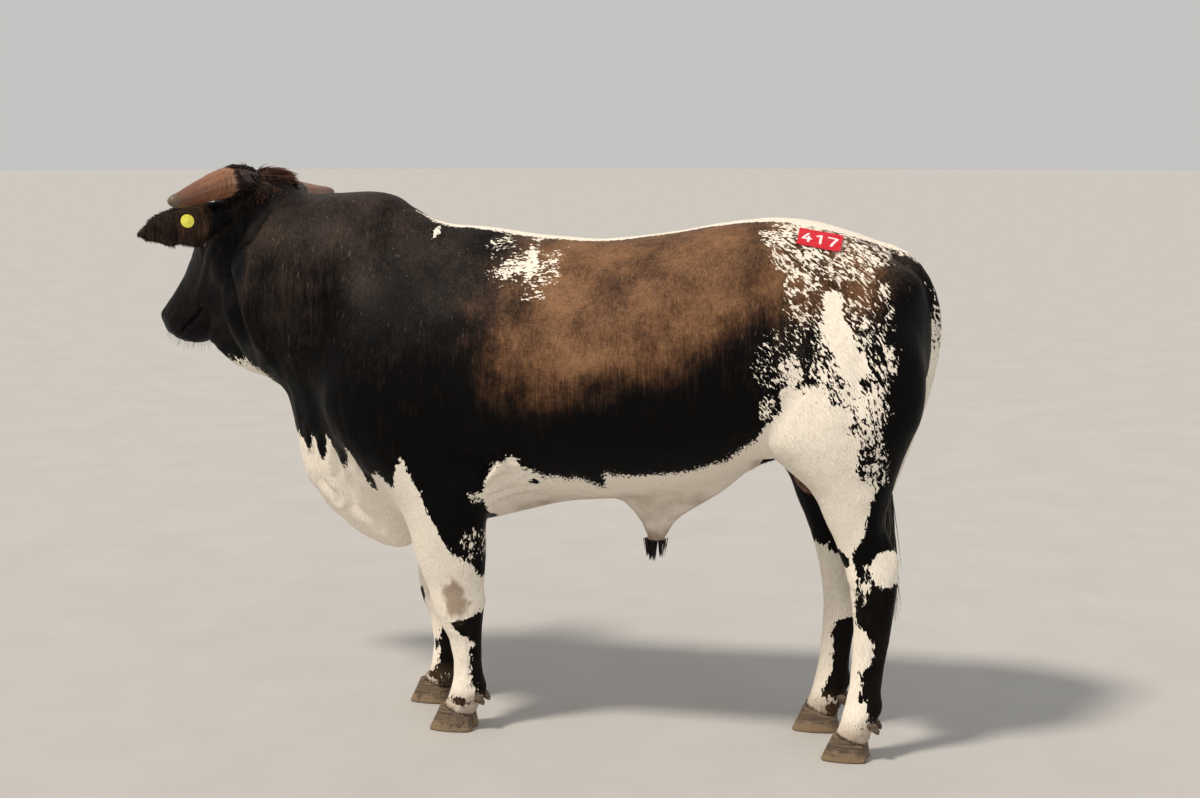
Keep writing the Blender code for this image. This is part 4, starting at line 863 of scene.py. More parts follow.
class Wire:
    """A socket of a node tree that takes part in sums like a number."""

    def __init__(self, tree, socket):
        self.tree, self.socket = tree, socket

    def node(self, kind, settings=None, outlet=0, **inlets):
        made = self.tree.nodes.new(kind)
        for key, value in (settings or {}).items():
            setattr(made, key, value)
        for key, value in inlets.items():
            inlet = made.inputs[int(key[1:]) if key[1:].isdigit() else key.replace("_", " ")]
            if isinstance(value, Wire):
                self.tree.links.new(value.socket, inlet)
            else:
                inlet.default_value = value
        return Wire(self.tree, made.outputs[outlet])

    def sum(self, operation, first, second):
        return self.node("ShaderNodeMath", {"operation": operation}, i0=first, i1=second)

    def __add__(self, other):
        return self.sum("ADD", self, other)

    __radd__ = __add__

    def __mul__(self, other):
        return self.sum("MULTIPLY", self, other)

    __rmul__ = __mul__

    def __sub__(self, other):
        return self.sum("SUBTRACT", self, other)

    def __rsub__(self, other):
        return self.sum("SUBTRACT", other, self)

    def between(self, low, high):
        """0 below low, 1 above high, and smooth in between."""
        return self.node("ShaderNodeMapRange", {"interpolation_type": "SMOOTHSTEP"},
                         i0=self, i1=low, i2=high, i3=0.0, i4=1.0)

    def mixed(self, first, second):
        """The first colour where this is 0, and the second where it is 1."""
        first, second = (tint(c) if isinstance(c, str) else c for c in (first, second))
        return self.node("ShaderNodeMix", {"data_type": "RGBA"}, 2, i0=self, i6=first, i7=second)

    def blended(self, first, second):
        """The same for numbers."""
        return self.node("ShaderNodeMix", {"data_type": "FLOAT"}, 0, i0=self, i2=first, i3=second)


class Finish:
    """A material with one shader, and the places that its patterns read."""

    def __init__(self, name, roughness=0.6, **constants):
        self.material = bpy.data.materials.new(name)
        self.material.use_nodes = True
        self.tree = self.material.node_tree
        self.shader = self.tree.nodes["Principled BSDF"]
        self.shader.inputs["Roughness"].default_value = roughness
        for key, value in constants.items():
            self.shader.inputs[key.replace("_", " ")].default_value = value
        self.start = Wire(self.tree, None)
        self.place = self.start.node("ShaderNodeTexCoord", outlet=3)

    def attribute(self, name, vector=False):
        return self.start.node("ShaderNodeAttribute", {"attribute_name": name}, 1 if vector else 2)

    def scaled(self, vector, by, turn=(0, 0, 0)):
        return self.start.node("ShaderNodeMapping", i0=vector, Scale=by, Rotation=turn)

    def length(self, vector, by):
        """How long a vector is, once each of its parts is scaled."""
        return self.start.node("ShaderNodeVectorMath", {"operation": "LENGTH"}, 1,
                               i0=self.scaled(vector, by))

    def noise(self, vector, scale, detail=2.0, roughness=0.5, distortion=0.0):
        return self.start.node("ShaderNodeTexNoise", Vector=vector, Scale=scale, Detail=detail,
                               Roughness=roughness, Distortion=distortion)

    def grain(self, vector, by, detail=2.0, roughness=0.5, distortion=0.0):
        """Noise drawn out differently along each axis."""
        return self.noise(self.scaled(vector, by), 1.0, detail, roughness, distortion)

    def cells(self, vector, scale):
        """How far each point is from the edges of small cells."""
        return self.start.node("ShaderNodeTexVoronoi", {"feature": "DISTANCE_TO_EDGE"},
                               Vector=vector, Scale=scale)

    def put(self, inlet, wire):
        self.tree.links.new(wire.socket, self.shader.inputs[inlet])

    def bump(self, height, distance, strength=1.0):
        self.put("Normal", self.start.node("ShaderNodeBump", Height=height, Distance=distance,
                                           Strength=strength))


def tint(code):
    """A colour from six hexadecimal digits, as light."""
    parts = [int(code[k:k + 2], 16) / 255 for k in (0, 2, 4)]
    return tuple(p / 12.92 if p < 0.04045 else ((p + 0.055) / 1.055) ** 2.4 for p in parts) + (1.0,)


BLACK_HAIR, BROWN_HAIR = ("040303", "51443c"), ("472b1a", "9c7453")
WHITE_HAIR, HEAD_HAIR = ("e0d3c0", "fff8eb"), ("080707", "1e1b1a")
BARE_SKIN, MUZZLE = ("4f3a30", "7d6051"), "161515"
DRY_DIRT, GREYED, SOIL_AND_SHADE = "8f7f70", "a89b8c", "7f6248"


def coat_finish(name, fibre):
    """The coat: fibre is how strongly single hairs show in its relief."""
    finish = Finish(name, 0.55, Specular_IOR_Level=0.07)
    root, comb = finish.attribute("root", True), finish.attribute("comb", True)
    white, sun, dust_and_top_light, dirt_and_shade, bare, upright, head, muzzle = (
        finish.attribute(n)
        for n in ("white", "sun", "dust_and_top_light", "dirt_and_shade", "bare", "upright", "head", "muzzle"))
    flow = finish.grain(comb, (78, 150, 130), 3.0, 0.55, 0.5)
    down = finish.grain(root, (140, 125, 62), 3.0, 0.55, 0.4)
    fleck = upright.blended(flow, down)
    coarse = finish.noise(root, 20.0, 2.0, 0.5)
    level = (fleck - 0.5) + (coarse - 0.5) * 0.30 + white * 0.25
    is_white = level.between(-0.015, 0.015)
    # hair by hair, drawn out along the lie, over slower runs and mottles
    hair_flow = finish.grain(comb, (60, 520, 420), 2.0, 0.6)
    hair_down = finish.grain(finish.place, (480, 480, 55), 2.0, 0.6)
    hair = upright.blended(hair_flow, hair_down)
    streak = finish.grain(root, (70, 50, 5), 4.0, 0.65)
    slow = finish.noise(root, 9.0, 3.0, 0.55)
    mottle = finish.noise(root, 48.0, 3.0, 0.65)
    fine = finish.grain(root, (210, 160, 12), 3.0, 0.6)
    # the dark hair lightens with its dust and the painted top light
    lit = ((hair - 0.5) * 0.5 + (streak - 0.5) * 0.4 + (fine - 0.5) * 0.5 + (slow - 0.5) * 0.5
           + dust_and_top_light * 0.62 - 0.05)
    dark = lit.between(0.0, 0.9).mixed(*BLACK_HAIR)
    warm = ((hair - 0.5) * 0.7 + (mottle - 0.5) * 0.4 + (slow - 0.5) * 0.6 + (fine - 0.5) * 0.5
            + sun * 0.55)
    brown = warm.between(0.0, 1.0).mixed(*BROWN_HAIR)
    runs = (((mottle - 0.5) * 0.30 + (fine - 0.5) * 0.45 + (streak - 0.5) * 0.45)
            * sun.between(0.0, 0.35))
    sunned = sun * 1.15 + (slow - 0.5) * 0.75 * sun.between(0.0, 0.3) + runs - 0.16
    base = (sunned.between(0.0, 1.0) * 0.92).mixed(dark, brown)
    scratch = finish.grain(root, (120, 90, 3.2), 2.0, 0.6).between(0.66, 0.73)
    base = (scratch * dust_and_top_light * 0.60).mixed(base, DRY_DIRT)
    base = head.between(0.4, 1.0).mixed(base, hair.between(0.3, 0.8).mixed(*HEAD_HAIR))
    cream = hair.between(0.2, 0.8).mixed(*WHITE_HAIR)
    grey = finish.noise(root, 30.0, 3.0, 0.6)
    cream = (grey.between(0.55, 0.78) * 0.16).mixed(cream, GREYED)
    colour = is_white.mixed(base, cream)
    # soil and painted shade: dirt on feet, knee and lower legs, and painted shade under the belly
    soil_and_shade = (dirt_and_shade * (0.55 + 0.9 * finish.noise(root, 22.0, 4.0, 0.6))).between(0.25, 1.05)
    soil_and_shade = soil_and_shade * (0.38 + is_white * 0.36)
    colour = soil_and_shade.mixed(colour, SOIL_AND_SHADE)
    colour = bare.between(0.2, 0.8).mixed(colour, mottle.between(0.3, 0.7).mixed(*BARE_SKIN))
    colour = muzzle.between(0.2, 0.8).mixed(colour, MUZZLE)
    finish.put("Base Color", colour)
    finish.put("Roughness", 0.47 + (streak - 0.5) * 0.35 + (hair - 0.5) * 0.25 + is_white * 0.10
               + soil_and_shade * 0.25 - muzzle * 0.12)
    pad = finish.cells(finish.place, 260.0).between(0.0, 0.25) * muzzle * 0.0012
    height = ((hair - 0.5) * 0.0014 + (streak - 0.5) * 0.0018 + (fine - 0.5) * 0.0012
              + is_white * 0.0004)
    finish.bump(height * (1 - muzzle) + pad, 1.0, 0.9 * fibre)
    return finish.material


skin_coat = coat_finish("coat", 1.0)
mark(skin.data, points(skin.data))
dressed(skin, skin_coat)
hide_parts(*FLESH)
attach(skin, "root")

# Eyes. A dark wet ball behind each slit, with a clear dome over a brown iris and a pupil drawn out
# sideways, as cattle have.
DOME_FROM, DOME_RISE = 0.72, 0.0015      # as a share of the radius, and how far it stands out
PUPIL_LONG, PUPIL_HIGH = 0.62, 1.25


def eyeball(side):
    outward, slit, above = eye_frame(side)
    bm = bmesh.new()
    bmesh.ops.create_uvsphere(bm, u_segments=48, v_segments=32, radius=EYE_RADIUS)
    gaze = []
    for vert in bm.verts:
        dome = max(0.0, vert.co.z / EYE_RADIUS - DOME_FROM) / (1 - DOME_FROM)
        vert.co.z += DOME_RISE * dome * dome * (3 - 2 * dome)
        gaze.append(tuple(vert.co))
    turn = Matrix((slit, above, outward)).transposed().to_4x4()
    if turn.determinant() < 0:
        turn = Matrix((-Vector(slit), above, outward)).transposed().to_4x4()
    bmesh.ops.transform(bm, matrix=Matrix.Translation(EYES[side]) @ turn, verts=bm.verts)
    ball = show("eyeball_" + side, cast("eyeball_" + side, bm))
    give(ball.data, "gaze", np.array(gaze))
    dressed(ball, wet.material)
    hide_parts("eye_" + side)
    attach(ball, "root")


wet = Finish("wet eye", 0.08, Coat_Weight=0.25, Coat_Roughness=0.03, Specular_IOR_Level=0.28)
gaze = wet.attribute("gaze", True)
flat = wet.length(gaze, (1, 1, 0))
oval = wet.length(gaze, (PUPIL_LONG, PUPIL_HIGH, 0))
threads = wet.noise(wet.scaled(gaze, (1, 1, 0.1)), 900.0, 2.0)
iris = threads.between(0.3, 0.7).mixed("1c0f08", "3d2313")
eye_colour = oval.between(0.0042, 0.0050).mixed("030305", iris)
eye_colour = flat.between(0.0105, 0.0120).mixed(eye_colour, "0c0807")
eye_colour = flat.between(0.0150, 0.0180).mixed(eye_colour, "3a2e28")
wet.put("Base Color", eye_colour)
eyeball("left")
eyeball("right")


# Horns. Short, thick and blunt, worn smooth: dark where the hair hides them, then tan to pink
# further out, with faint growth rings near the root and fine lengthwise grain.
HORN_VOXEL = 0.0028
RINGS_PER_METRE, RINGS_MORE = 300, 120   # as angles, and how much closer they get to the tip
ROOT_SWELL, ROOT_SWELL_AT, ROOT_SWELL_LONG = 0.0012, 0.16, 0.05


def horn_piece(side):
    node = "horn_" + side
    thing = melted(show(node + "_worn", copied([node])), HORN_VOXEL)
    at = soothed(points(thing.data), edges(thing.data), 16)
    sign = 1 if side == "left" else -1
    reach = (at - np.array(POLL)) @ np.array(LEFT) * sign
    move(thing.data, at)
    out = normals(thing.data)
    share = (reach - reach.min()) / (reach.max() - reach.min())
    rings = np.sin(reach * (RINGS_PER_METRE + RINGS_MORE * share) + 1.5 * rough(at, 0.03, 31))
    rings = rings * (1 - ease(share, 0.35, 0.75))
    swell = ROOT_SWELL * np.exp(-((share - ROOT_SWELL_AT) / ROOT_SWELL_LONG) ** 2)
    at = at + out * (0.00055 * rings + 0.0007 * rough(at, 0.02, 32) - 0.0006 + swell)[:, None]
    move(thing.data, at)
    give(thing.data, "share", share)
    dressed(thing, horny.material)
    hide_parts(node)
    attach(thing, "root")
    return thing


horny = Finish("horn", 0.38, Specular_IOR_Level=0.45)
share = horny.attribute("share")
grain = horny.noise(horny.scaled(horny.place, (60, 9, 60), (0, 0, HEAD_TURN)), 3.0, 4.0, 0.6)
slow = horny.noise(horny.place, 26.0, 3.0)
place_on = share + (slow - 0.5) * 0.22
base_horn = place_on.between(0.15, 0.45).mixed("bb9c79", "8b5e43")
base_horn = place_on.between(0.50, 0.82).mixed(base_horn, "744c3a")
base_horn = place_on.between(0.84, 0.97).mixed(base_horn, "655647")
base_horn = (grain.between(0.48, 0.72) * 0.65).mixed(base_horn, "4d3324")
base_horn = (slow.between(0.6, 0.8) * 0.25).mixed(base_horn, "cdb18c")
base_horn = place_on.between(0.27, 0.34).mixed("33221a", base_horn)
horny.put("Base Color", base_horn)
horny.put("Roughness", 0.34 + (grain - 0.5) * 0.35 + place_on.between(0.8, 1.0) * 0.15)
horny.bump((grain - 0.5) * 0.0010 + (slow - 0.5) * 0.0008, 1.0, 0.7)
horns = {side: horn_piece(side) for side in ("left", "right")}


# Claws. Two to a foot, with two small ones behind: brown-grey horn, ridged level by level, worn
# at the toe and crusted with dry mud.
CLAW_VOXEL, DEWCLAW_VOXEL = 0.0036, 0.0022
SOLE = 0.006                             # the sole's rim stays flat below this level
RIDGES_PER_METRE = 720


def claws():
    for node in sorted(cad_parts):
        if node.startswith(("claw_", "dewclaw_")):
            voxel = DEWCLAW_VOXEL if node.startswith("dewclaw_") else CLAW_VOXEL
            thing = melted(show(node + "_horn", copied([node])), voxel)
            at = points(thing.data)
            kept = at[:, 2] < SOLE
            calm = soothed(at, edges(thing.data), 8)
            calm[kept] = at[kept] * (1, 1, 0) + calm[kept] * (0, 0, 1)
            move(thing.data, calm)
            out = normals(thing.data)
            level = calm[:, 2]
            ridge = (np.sin(level * RIDGES_PER_METRE + 2.0 * rough(calm, 0.03, 41))
                     * ease(level, SOLE, 0.02))
            rise = (0.0005 * ridge + 0.0010 * rough(calm, 0.018, 42)
                    + 0.0006 * rough(calm, 0.007, 43) - 0.0008)
            side = np.linalg.norm(out[:, :2], axis=1)
            calm = calm + out * (rise * side)[:, None]
            calm[:, 2] = np.maximum(calm[:, 2], 0.0)
            move(thing.data, calm)
            dressed(thing, hoof.material)
            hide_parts(node)
            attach(thing, "root")


hoof = Finish("hoof", 0.62, Specular_IOR_Level=0.35)
bands = hoof.grain(hoof.place, (12, 12, 330), 3.0, 0.55)
slow = hoof.noise(hoof.place, 34.0, 4.0, 0.6)
fine = hoof.noise(hoof.place, 210.0, 3.0, 0.6)
hoof_base = bands.between(0.3, 0.7).mixed("3d3229", "786550")
hoof_base = (slow.between(0.5, 0.7) * 0.6).mixed(hoof_base, "2b2521")
level = hoof.start.node("ShaderNodeSeparateXYZ", outlet=2, Vector=hoof.place)
mud = (1.25 - level * 22 + (slow - 0.5) * 2.6 + (fine - 0.5) * 0.8).between(0.45, 0.95)
hoof_base = (mud * 0.85).mixed(hoof_base, "88735a")
hoof.put("Base Color", hoof_base)
hoof.put("Roughness", 0.5 + mud * 0.35 + (fine - 0.5) * 0.3)
hoof.bump((bands - 0.5) * 0.0012 + mud * (fine * 0.0012 + slow * 0.0014), 1.0, 0.9)
claws()


# Ear tag. Two round buttons of soft yellow plastic on a pin through the near ear, with rounded
# rims and a raised boss, slightly scuffed.
TAG_OUT = Vector((0.6420, -0.7370, 0.2115)).normalized()
TAG_PARTS = (                            # how deep it starts, how thick, radius, rounding
    (0.0, 0.0045, 0.0190, 0.0014), (-0.0014, 0.0030, 0.0068, 0.0010),
    (0.0030, 0.0210, 0.0040, 0.0004), (0.0226, 0.0044, 0.0120, 0.0012))


def tag_piece():
    at = points(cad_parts["ear_tag"].data)
    level = at @ np.array(TAG_OUT)
    face = at[level > level.max() - 0.0006]
    middle = Vector((face.min(0) + face.max(0)) / 2)
    bm = bmesh.new()
    for deep, thick, radius, rounding in TAG_PARTS:
        middle_deep = Matrix.Translation((0, 0, -deep - thick / 2))
        made = bmesh.ops.create_cone(bm, cap_ends=True, segments=56, radius1=radius,
                                     radius2=radius, depth=thick, matrix=middle_deep)
        own = set(made["verts"])
        rims = [e for e in bm.edges
                if e.verts[0] in own and abs(e.verts[0].co.z - e.verts[1].co.z) < WELD]
        bmesh.ops.bevel(bm, geom=rims, offset=rounding, segments=3, profile=0.5, affect="EDGES")
    facing = TAG_OUT.to_track_quat("Z", "Y").to_matrix().to_4x4()
    bmesh.ops.transform(bm, matrix=Matrix.Translation(middle) @ facing, verts=bm.verts)
    piece = show("ear_button", cast("ear_button", bm))
    dressed(piece, tag.material)
    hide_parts("ear_tag")
    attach(piece, "root")


tag = Finish("tag plastic", 0.42, Specular_IOR_Level=0.4)
scuff = tag.noise(tag.place, 160.0, 4.0, 0.6)
tag.put("Base Color", (scuff.between(0.55, 0.8) * 0.5).mixed("f4ef5a", "cfc25a"))
tag.put("Roughness", 0.36 + scuff * 0.2)
tag_piece()


# Hip sticker. A red plastic label glued to the rump, creased by the hair under it and lifting a
# little at its corners, with a plain printed number.
LABEL_AT, LABEL_HALF = Vector((0.8530, -0.1802, 1.4027)), (0.0565, 0.0355)
LABEL_TURN, LABEL_LEAN = math.radians(-2.0), math.radians(31)
LABEL_THICK, CORNER_LIFT = 0.0012, 0.0014
FIGURE_HIGH, FIGURE_BOLD, FIGURE_RAISED = 0.034, 0.0030, 0.002    # its lines' half width, its place
STROKES = (                              # the figures' lines, in figure heights
    ((-0.92, 0.50), (-1.28, -0.18)), ((-1.28, -0.18), (-0.66, -0.18)),
    ((-0.84, 0.10), (-0.84, -0.50)),
    ((-0.22, 0.34), (0.06, 0.50)), ((0.06, 0.50), (0.06, -0.50)),
    ((0.62, 0.50), (1.26, 0.50)), ((1.26, 0.50), (0.88, -0.50)))


def label_piece():
    turn = Matrix.Rotation(LABEL_TURN, 3, "Y") @ Matrix.Rotation(LABEL_LEAN, 3, "X")
    right, up, out = (turn.col[k].copy() for k in range(3))
    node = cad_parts["hip_tag"]
    tree = BVHTree.FromPolygons([tuple(v.co) for v in node.data.vertices],
                                [tuple(p.vertices) for p in node.data.polygons])
    bm = bmesh.new()
    bmesh.ops.create_grid(bm, x_segments=112, y_segments=70, size=1.0)
    mesh = cast("hip_label", bm)
    on_label = points(mesh)[:, :2] / np.abs(points(mesh)[:, :2]).max(0)
    laid = []
    for u, v in on_label:
        over = LABEL_AT + right * (u * LABEL_HALF[0]) + up * (v * LABEL_HALF[1])
        hit = tree.ray_cast(over + out * 0.08, -out)[0]
        near = tree.find_nearest(over)[0]
        laid.append(hit if hit else over + out * (near - over).dot(out))
    laid = np.array(laid)
    corner = (on_label ** 8).prod(1)
    crumple = 0.0005 * rough(laid, 0.020, 61) + 0.0002 * rough(laid, 0.006, 62)
    move(mesh, laid + np.array(out) * (crumple + CORNER_LIFT * corner)[:, None])
    mark_at = on_label * LABEL_HALF + (0, FIGURE_RAISED)
    away = [line_distance(mark_at, np.array(stroke) * FIGURE_HIGH) for stroke in STROKES]
    give(mesh, "figure", np.min(away, 0))
    mesh.materials.append(label.material)
    piece = show("hip_label", mesh)
    sheet = piece.modifiers.new("sheet", "SOLIDIFY")
    sheet.thickness = LABEL_THICK
    finished(piece).data.shade_smooth()
    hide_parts("hip_tag")
    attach(piece, "root")


label = Finish("label plastic", 0.34, Specular_IOR_Level=0.4)
crinkle = label.noise(label.place, 70.0, 3.0, 0.55)
ink = (FIGURE_BOLD - label.attribute("figure")).between(-0.0003, 0.0003)
label_red = (crinkle.between(0.45, 0.8) * 0.35).mixed("c8182b", "dd4a55")
label.put("Base Color", (ink * 0.95).mixed(label_red, "f1ecec"))
label.put("Roughness", 0.32 + crinkle * 0.2)
label_piece()

# Hair that stands clear of the skin. Each tuft is a thin closed blade with three sides and a
# pointed tip, rooted just under the skin and lying the way the coat lies.
HAIR_SHARE = 1.0
ROOT_DEEP = 0.0012                       # how far a root stands in the skin
BAKE_PATCH = 0.003                       # a tuft's size on the flat map laid out for its colours


class Hide:
    """A finished surface as triangles, from which roots are drawn."""

    def __init__(self, thing):
        mesh = thing.data
        mesh.calc_loop_triangles()
        self.corners = listed(mesh.loop_triangles, "vertices", np.int32, 3)
        self.places, self.out = points(mesh), normals(mesh)
        a, b, c = (self.places[self.corners[:, k]] for k in range(3))
        self.area = np.linalg.norm(np.cross(b - a, c - a), axis=1) / 2
        self.centre = (a + b + c) / 3
        self.tree = BVHTree.FromPolygons([tuple(p) for p in self.places], self.corners.tolist())

    def roots(self, count, weight, seed):
        draw = np.random.default_rng(seed)
        chance = self.area * weight
        picked = draw.choice(len(chance), int(count * HAIR_SHARE), p=chance / chance.sum())
        u, v = draw.random(len(picked)), draw.random(len(picked))
        flip = u + v > 1
        u, v = np.where(flip, 1 - u, u)[:, None], np.where(flip, 1 - v, v)[:, None]
        a, b, c = (self.corners[picked, k] for k in range(3))
        spots = self.places[a] * (1 - u - v) + self.places[b] * u + self.places[c] * v
        out = self.out[a] * (1 - u - v) + self.out[b] * u + self.out[c] * v
        return spots, out / np.linalg.norm(out, axis=1)[:, None]


def unit(vectors):
    return vectors / np.maximum(np.linalg.norm(vectors, axis=1), 1e-9)[:, None]


def unwrapped(places):
    """The skin laid flat: body, head, legs and tail unrolled side by side."""
    legs = on_legs(places)
    along, left, height = head_axes(places)
    on_head = ((along > -0.08) & (np.abs(left) < 0.40) & (places[:, 0] < -0.60)
               & (places[:, 2] > 0.98))
    turn = lambda a, b: (np.arctan2(a, b) / (2 * math.pi)) % 1.0
    y = places[:, 1] - MIDDLE
    sheet = np.stack([turn(y, places[:, 2] - 1.0) * 0.60, (places[:, 0] + 1.0) / 2.2 * 0.58], 1)
    head = np.stack([0.62 + turn(left, height + 0.08) * 0.37,
                     0.01 + np.clip(along + 0.1, 0, 0.75) * 0.50], 1)
    sheet = np.where(on_head[:, None], head, sheet)
    for index, (hind, right) in enumerate(((0, 0), (0, 1), (1, 0), (1, 1))):
        mine = ((places[:, 2] < 0.70) & ((places[:, 0] > 0.30) == bool(hind))
                & ((y > 0) == bool(right)))
        mine &= (legs[:, 0] > -0.28) & ((legs[:, 0] < 0.1) | (legs[:, 0] > 0.6))
        centre = 1.0 if hind else -0.13
        one = np.stack([index * 0.245 + 0.01 + turn(legs[:, 0] - centre, legs[:, 1] - 0.145) * 0.22,
                        0.62 + places[:, 2] * 0.50], 1)
        sheet = np.where(mine[:, None], one, sheet)
    return sheet


def tufts(name, roots, lie, out, length, width, finish, rings=2, thick=0.4, rise=0.15, bend=0.0,
          wave=0.0, sag=0.0, seed=1, clear=None, marks=None, taper=0.75):
    """A coat piece of many blades. rise lifts a blade off the skin, bend presses its tip back."""
    draw = np.random.default_rng(seed)
    count = len(roots)
    length = length * np.ones(count)
    width = width * np.ones(count)
    side = unit(np.cross(lie, out))
    phase, speed = draw.random(count) * 6.28, 0.8 + 0.5 * draw.random(count)
    rows = []
    for k in range(rings + 1):
        t = k / rings
        middle = roots - out * ROOT_DEEP + lie * (length * t)[:, None]
        middle = middle + out * (length * (rise * t - bend * t * t))[:, None]
        swing = wave * length * np.sin(phase + speed * 7 * t) * t
        middle = middle + side * swing[:, None]
        middle[:, 2] -= sag * length * t * t
        if clear is not None and k:
            middle = clear(middle)
        half = (width * (1 - t ** 1.6) ** taper / 2)[:, None]
        if k < rings:
            rows += [middle - side * half, middle + side * half, middle + out * half * thick * 2]
        else:
            rows.append(middle)
    flesh = np.stack(rows, 1)                  # tuft, point, axis
    per = flesh.shape[1]
    faces = [(0, 1, 2)]
    for k in range(rings - 1):
        for j in range(3):
            a, b = k * 3 + j, k * 3 + (j + 1) % 3
            faces += [(a, a + 3, b + 3), (a, b + 3, b)]
    last = (rings - 1) * 3
    faces += [(last + j, per - 1, last + (j + 1) % 3) for j in range(3)]
    faces = np.array(faces)[None] + (np.arange(count) * per)[:, None, None]
    flat = faces.reshape(-1)
    mesh = bpy.data.meshes.new(name)
    mesh.vertices.add(count * per)
    mesh.loops.add(len(flat))
    mesh.polygons.add(len(flat) // 3)
    mesh.vertices.foreach_set("co", flesh.astype(np.float32).ravel())
    mesh.loops.foreach_set("vertex_index", flat.astype(np.int32))
    mesh.polygons.foreach_set("loop_start", np.arange(0, len(flat), 3, dtype=np.int32))
    mesh.update(calc_edges=True)
    give(mesh, "root", np.repeat(roots, per, 0))
    for key, values in (marks or coat_marks(roots)).items():
        give(mesh, key, np.repeat(values, per, 0))
    give(mesh, "tip", np.tile(np.array([k // 3 / rings for k in range(per)]), count))
    give(mesh, "luck", np.repeat(draw.random(count), per))
    sheet = np.repeat(unwrapped(roots), per, 0)
    local = np.array([((k % 3) / 2 if k < per - 1 else 0.5, min(k // 3, rings) / rings)
                      for k in range(per)])
    sheet = sheet + np.tile((local - 0.5) * BAKE_PATCH, (count, 1))
    layer = mesh.uv_layers.new(name="OFBake")
    layer.data.foreach_set("uv", sheet[flat].astype(np.float32).ravel())
    piece = show(name, mesh)
    dressed(piece, finish)
    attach(piece, "root")
    return piece


hide = Hide(skin)
spread = np.random.default_rng(5)


def pressed(lie, out):
    """The lie laid flat on the skin."""
    return unit(lie - out * (lie * out).sum(1)[:, None])


def combed_off(lie, out, stray, seed):
    """The lie pressed flat to the skin, with a little disorder."""
    draw = np.random.default_rng(seed)
    flat = pressed(lie, out)
    side = np.cross(flat, out)
    return unit(flat + side * (draw.standard_normal(len(lie)) * stray)[:, None])


# Short fur, a thin scatter of small flat blades over the whole hide, so that marks and outline
# end in hair. It comes in four pieces: fore, barrel, hind and legs.
SHORT_COUNT, SHORT_LONG, SHORT_WIDE = 46000, 0.0115, 0.0022
short = coat_finish("short fur", 0.35)
at_x, at_z = hide.centre[:, 0], hide.centre[:, 2]
zones = {"fur_fore": (at_x < -0.15) & (at_z > 0.66),
         "fur_barrel": (at_x >= -0.15) & (at_x < 0.62) & (at_z > 0.50),
         "fur_hind": (at_x >= 0.62) & (at_z > 0.66),
         "fur_legs": (at_z <= 0.66) & (at_z > 0.06) & ((at_x < 0.0) | (at_x > 0.6))}
along, left, height = head_axes(hide.centre)
haired = 1.0 - ((along > 0.515) & (np.abs(left) < 0.12) & (at_z > 0.95) & (at_x < -0.9))
for centre in EYES.values():
    haired = haired * (np.linalg.norm(hide.centre - np.array(centre), axis=1) > 0.027)
for number, (name, zone) in enumerate(zones.items()):
    weight = zone * haired
    roots, out = hide.roots(SHORT_COUNT, weight, 100 + number)
    lie = combed_off(hair_lie(roots), out, 0.16, 110 + number)
    small = 0.6 if name == "fur_legs" else 1.0
    along, left, height = head_axes(roots)
    face = (along > 0.12) & (np.abs(left) < 0.14) & (roots[:, 0] < -0.70) & (roots[:, 2] > 0.98)
    size = np.where(face, 0.55, small) * (0.75 + 0.5 * spread.random(len(roots)))
    tufts(name, roots, lie, out, SHORT_LONG * size, SHORT_WIDE * size ** 0.5, short, rings=1,
          rise=0.10, thick=0.25, seed=120 + number)


def settled(out_by, *horn_hides):
    """Keeps a lock's points clear of the skin, and of the horns that it lies over."""
    trees = [hide.tree] + [one.tree for one in horn_hides]

    def clear(middle):
        placed = middle.copy()
        for k in range(len(placed)):
            for tree in trees:
                near, normal, _, _ = tree.find_nearest(Vector(placed[k]))
                gap = (Vector(placed[k]) - near).dot(normal)
                if gap < out_by:
                    placed[k] = near + normal * out_by
        return placed
    return clear


def hair_finish(name, low, high, tip=None, gloss=0.5):
    finish = Finish(name, gloss, Specular_IOR_Level=0.4)
    luck, end = finish.attribute("luck"), finish.attribute("tip")
    colour = luck.mixed(low, high)
    if tip:
        colour = (end * end).mixed(colour, tip)
    thread = finish.noise(finish.place, 900.0, 2.0)
    colour = (thread.between(0.35, 0.75) * 0.35).mixed(colour, low)
    finish.put("Base Color", colour)
    finish.put("Roughness", gloss - 0.08 + thread * 0.16)
    return finish.material


# Poll hair. A thick mop between the horns falls back over the nape and over the horns' roots,
# tan on the near side and dark brown on the far one.
MOP_HAIRS = 2600
horn_hides = {side: Hide(horn) for side, horn in horns.items()}


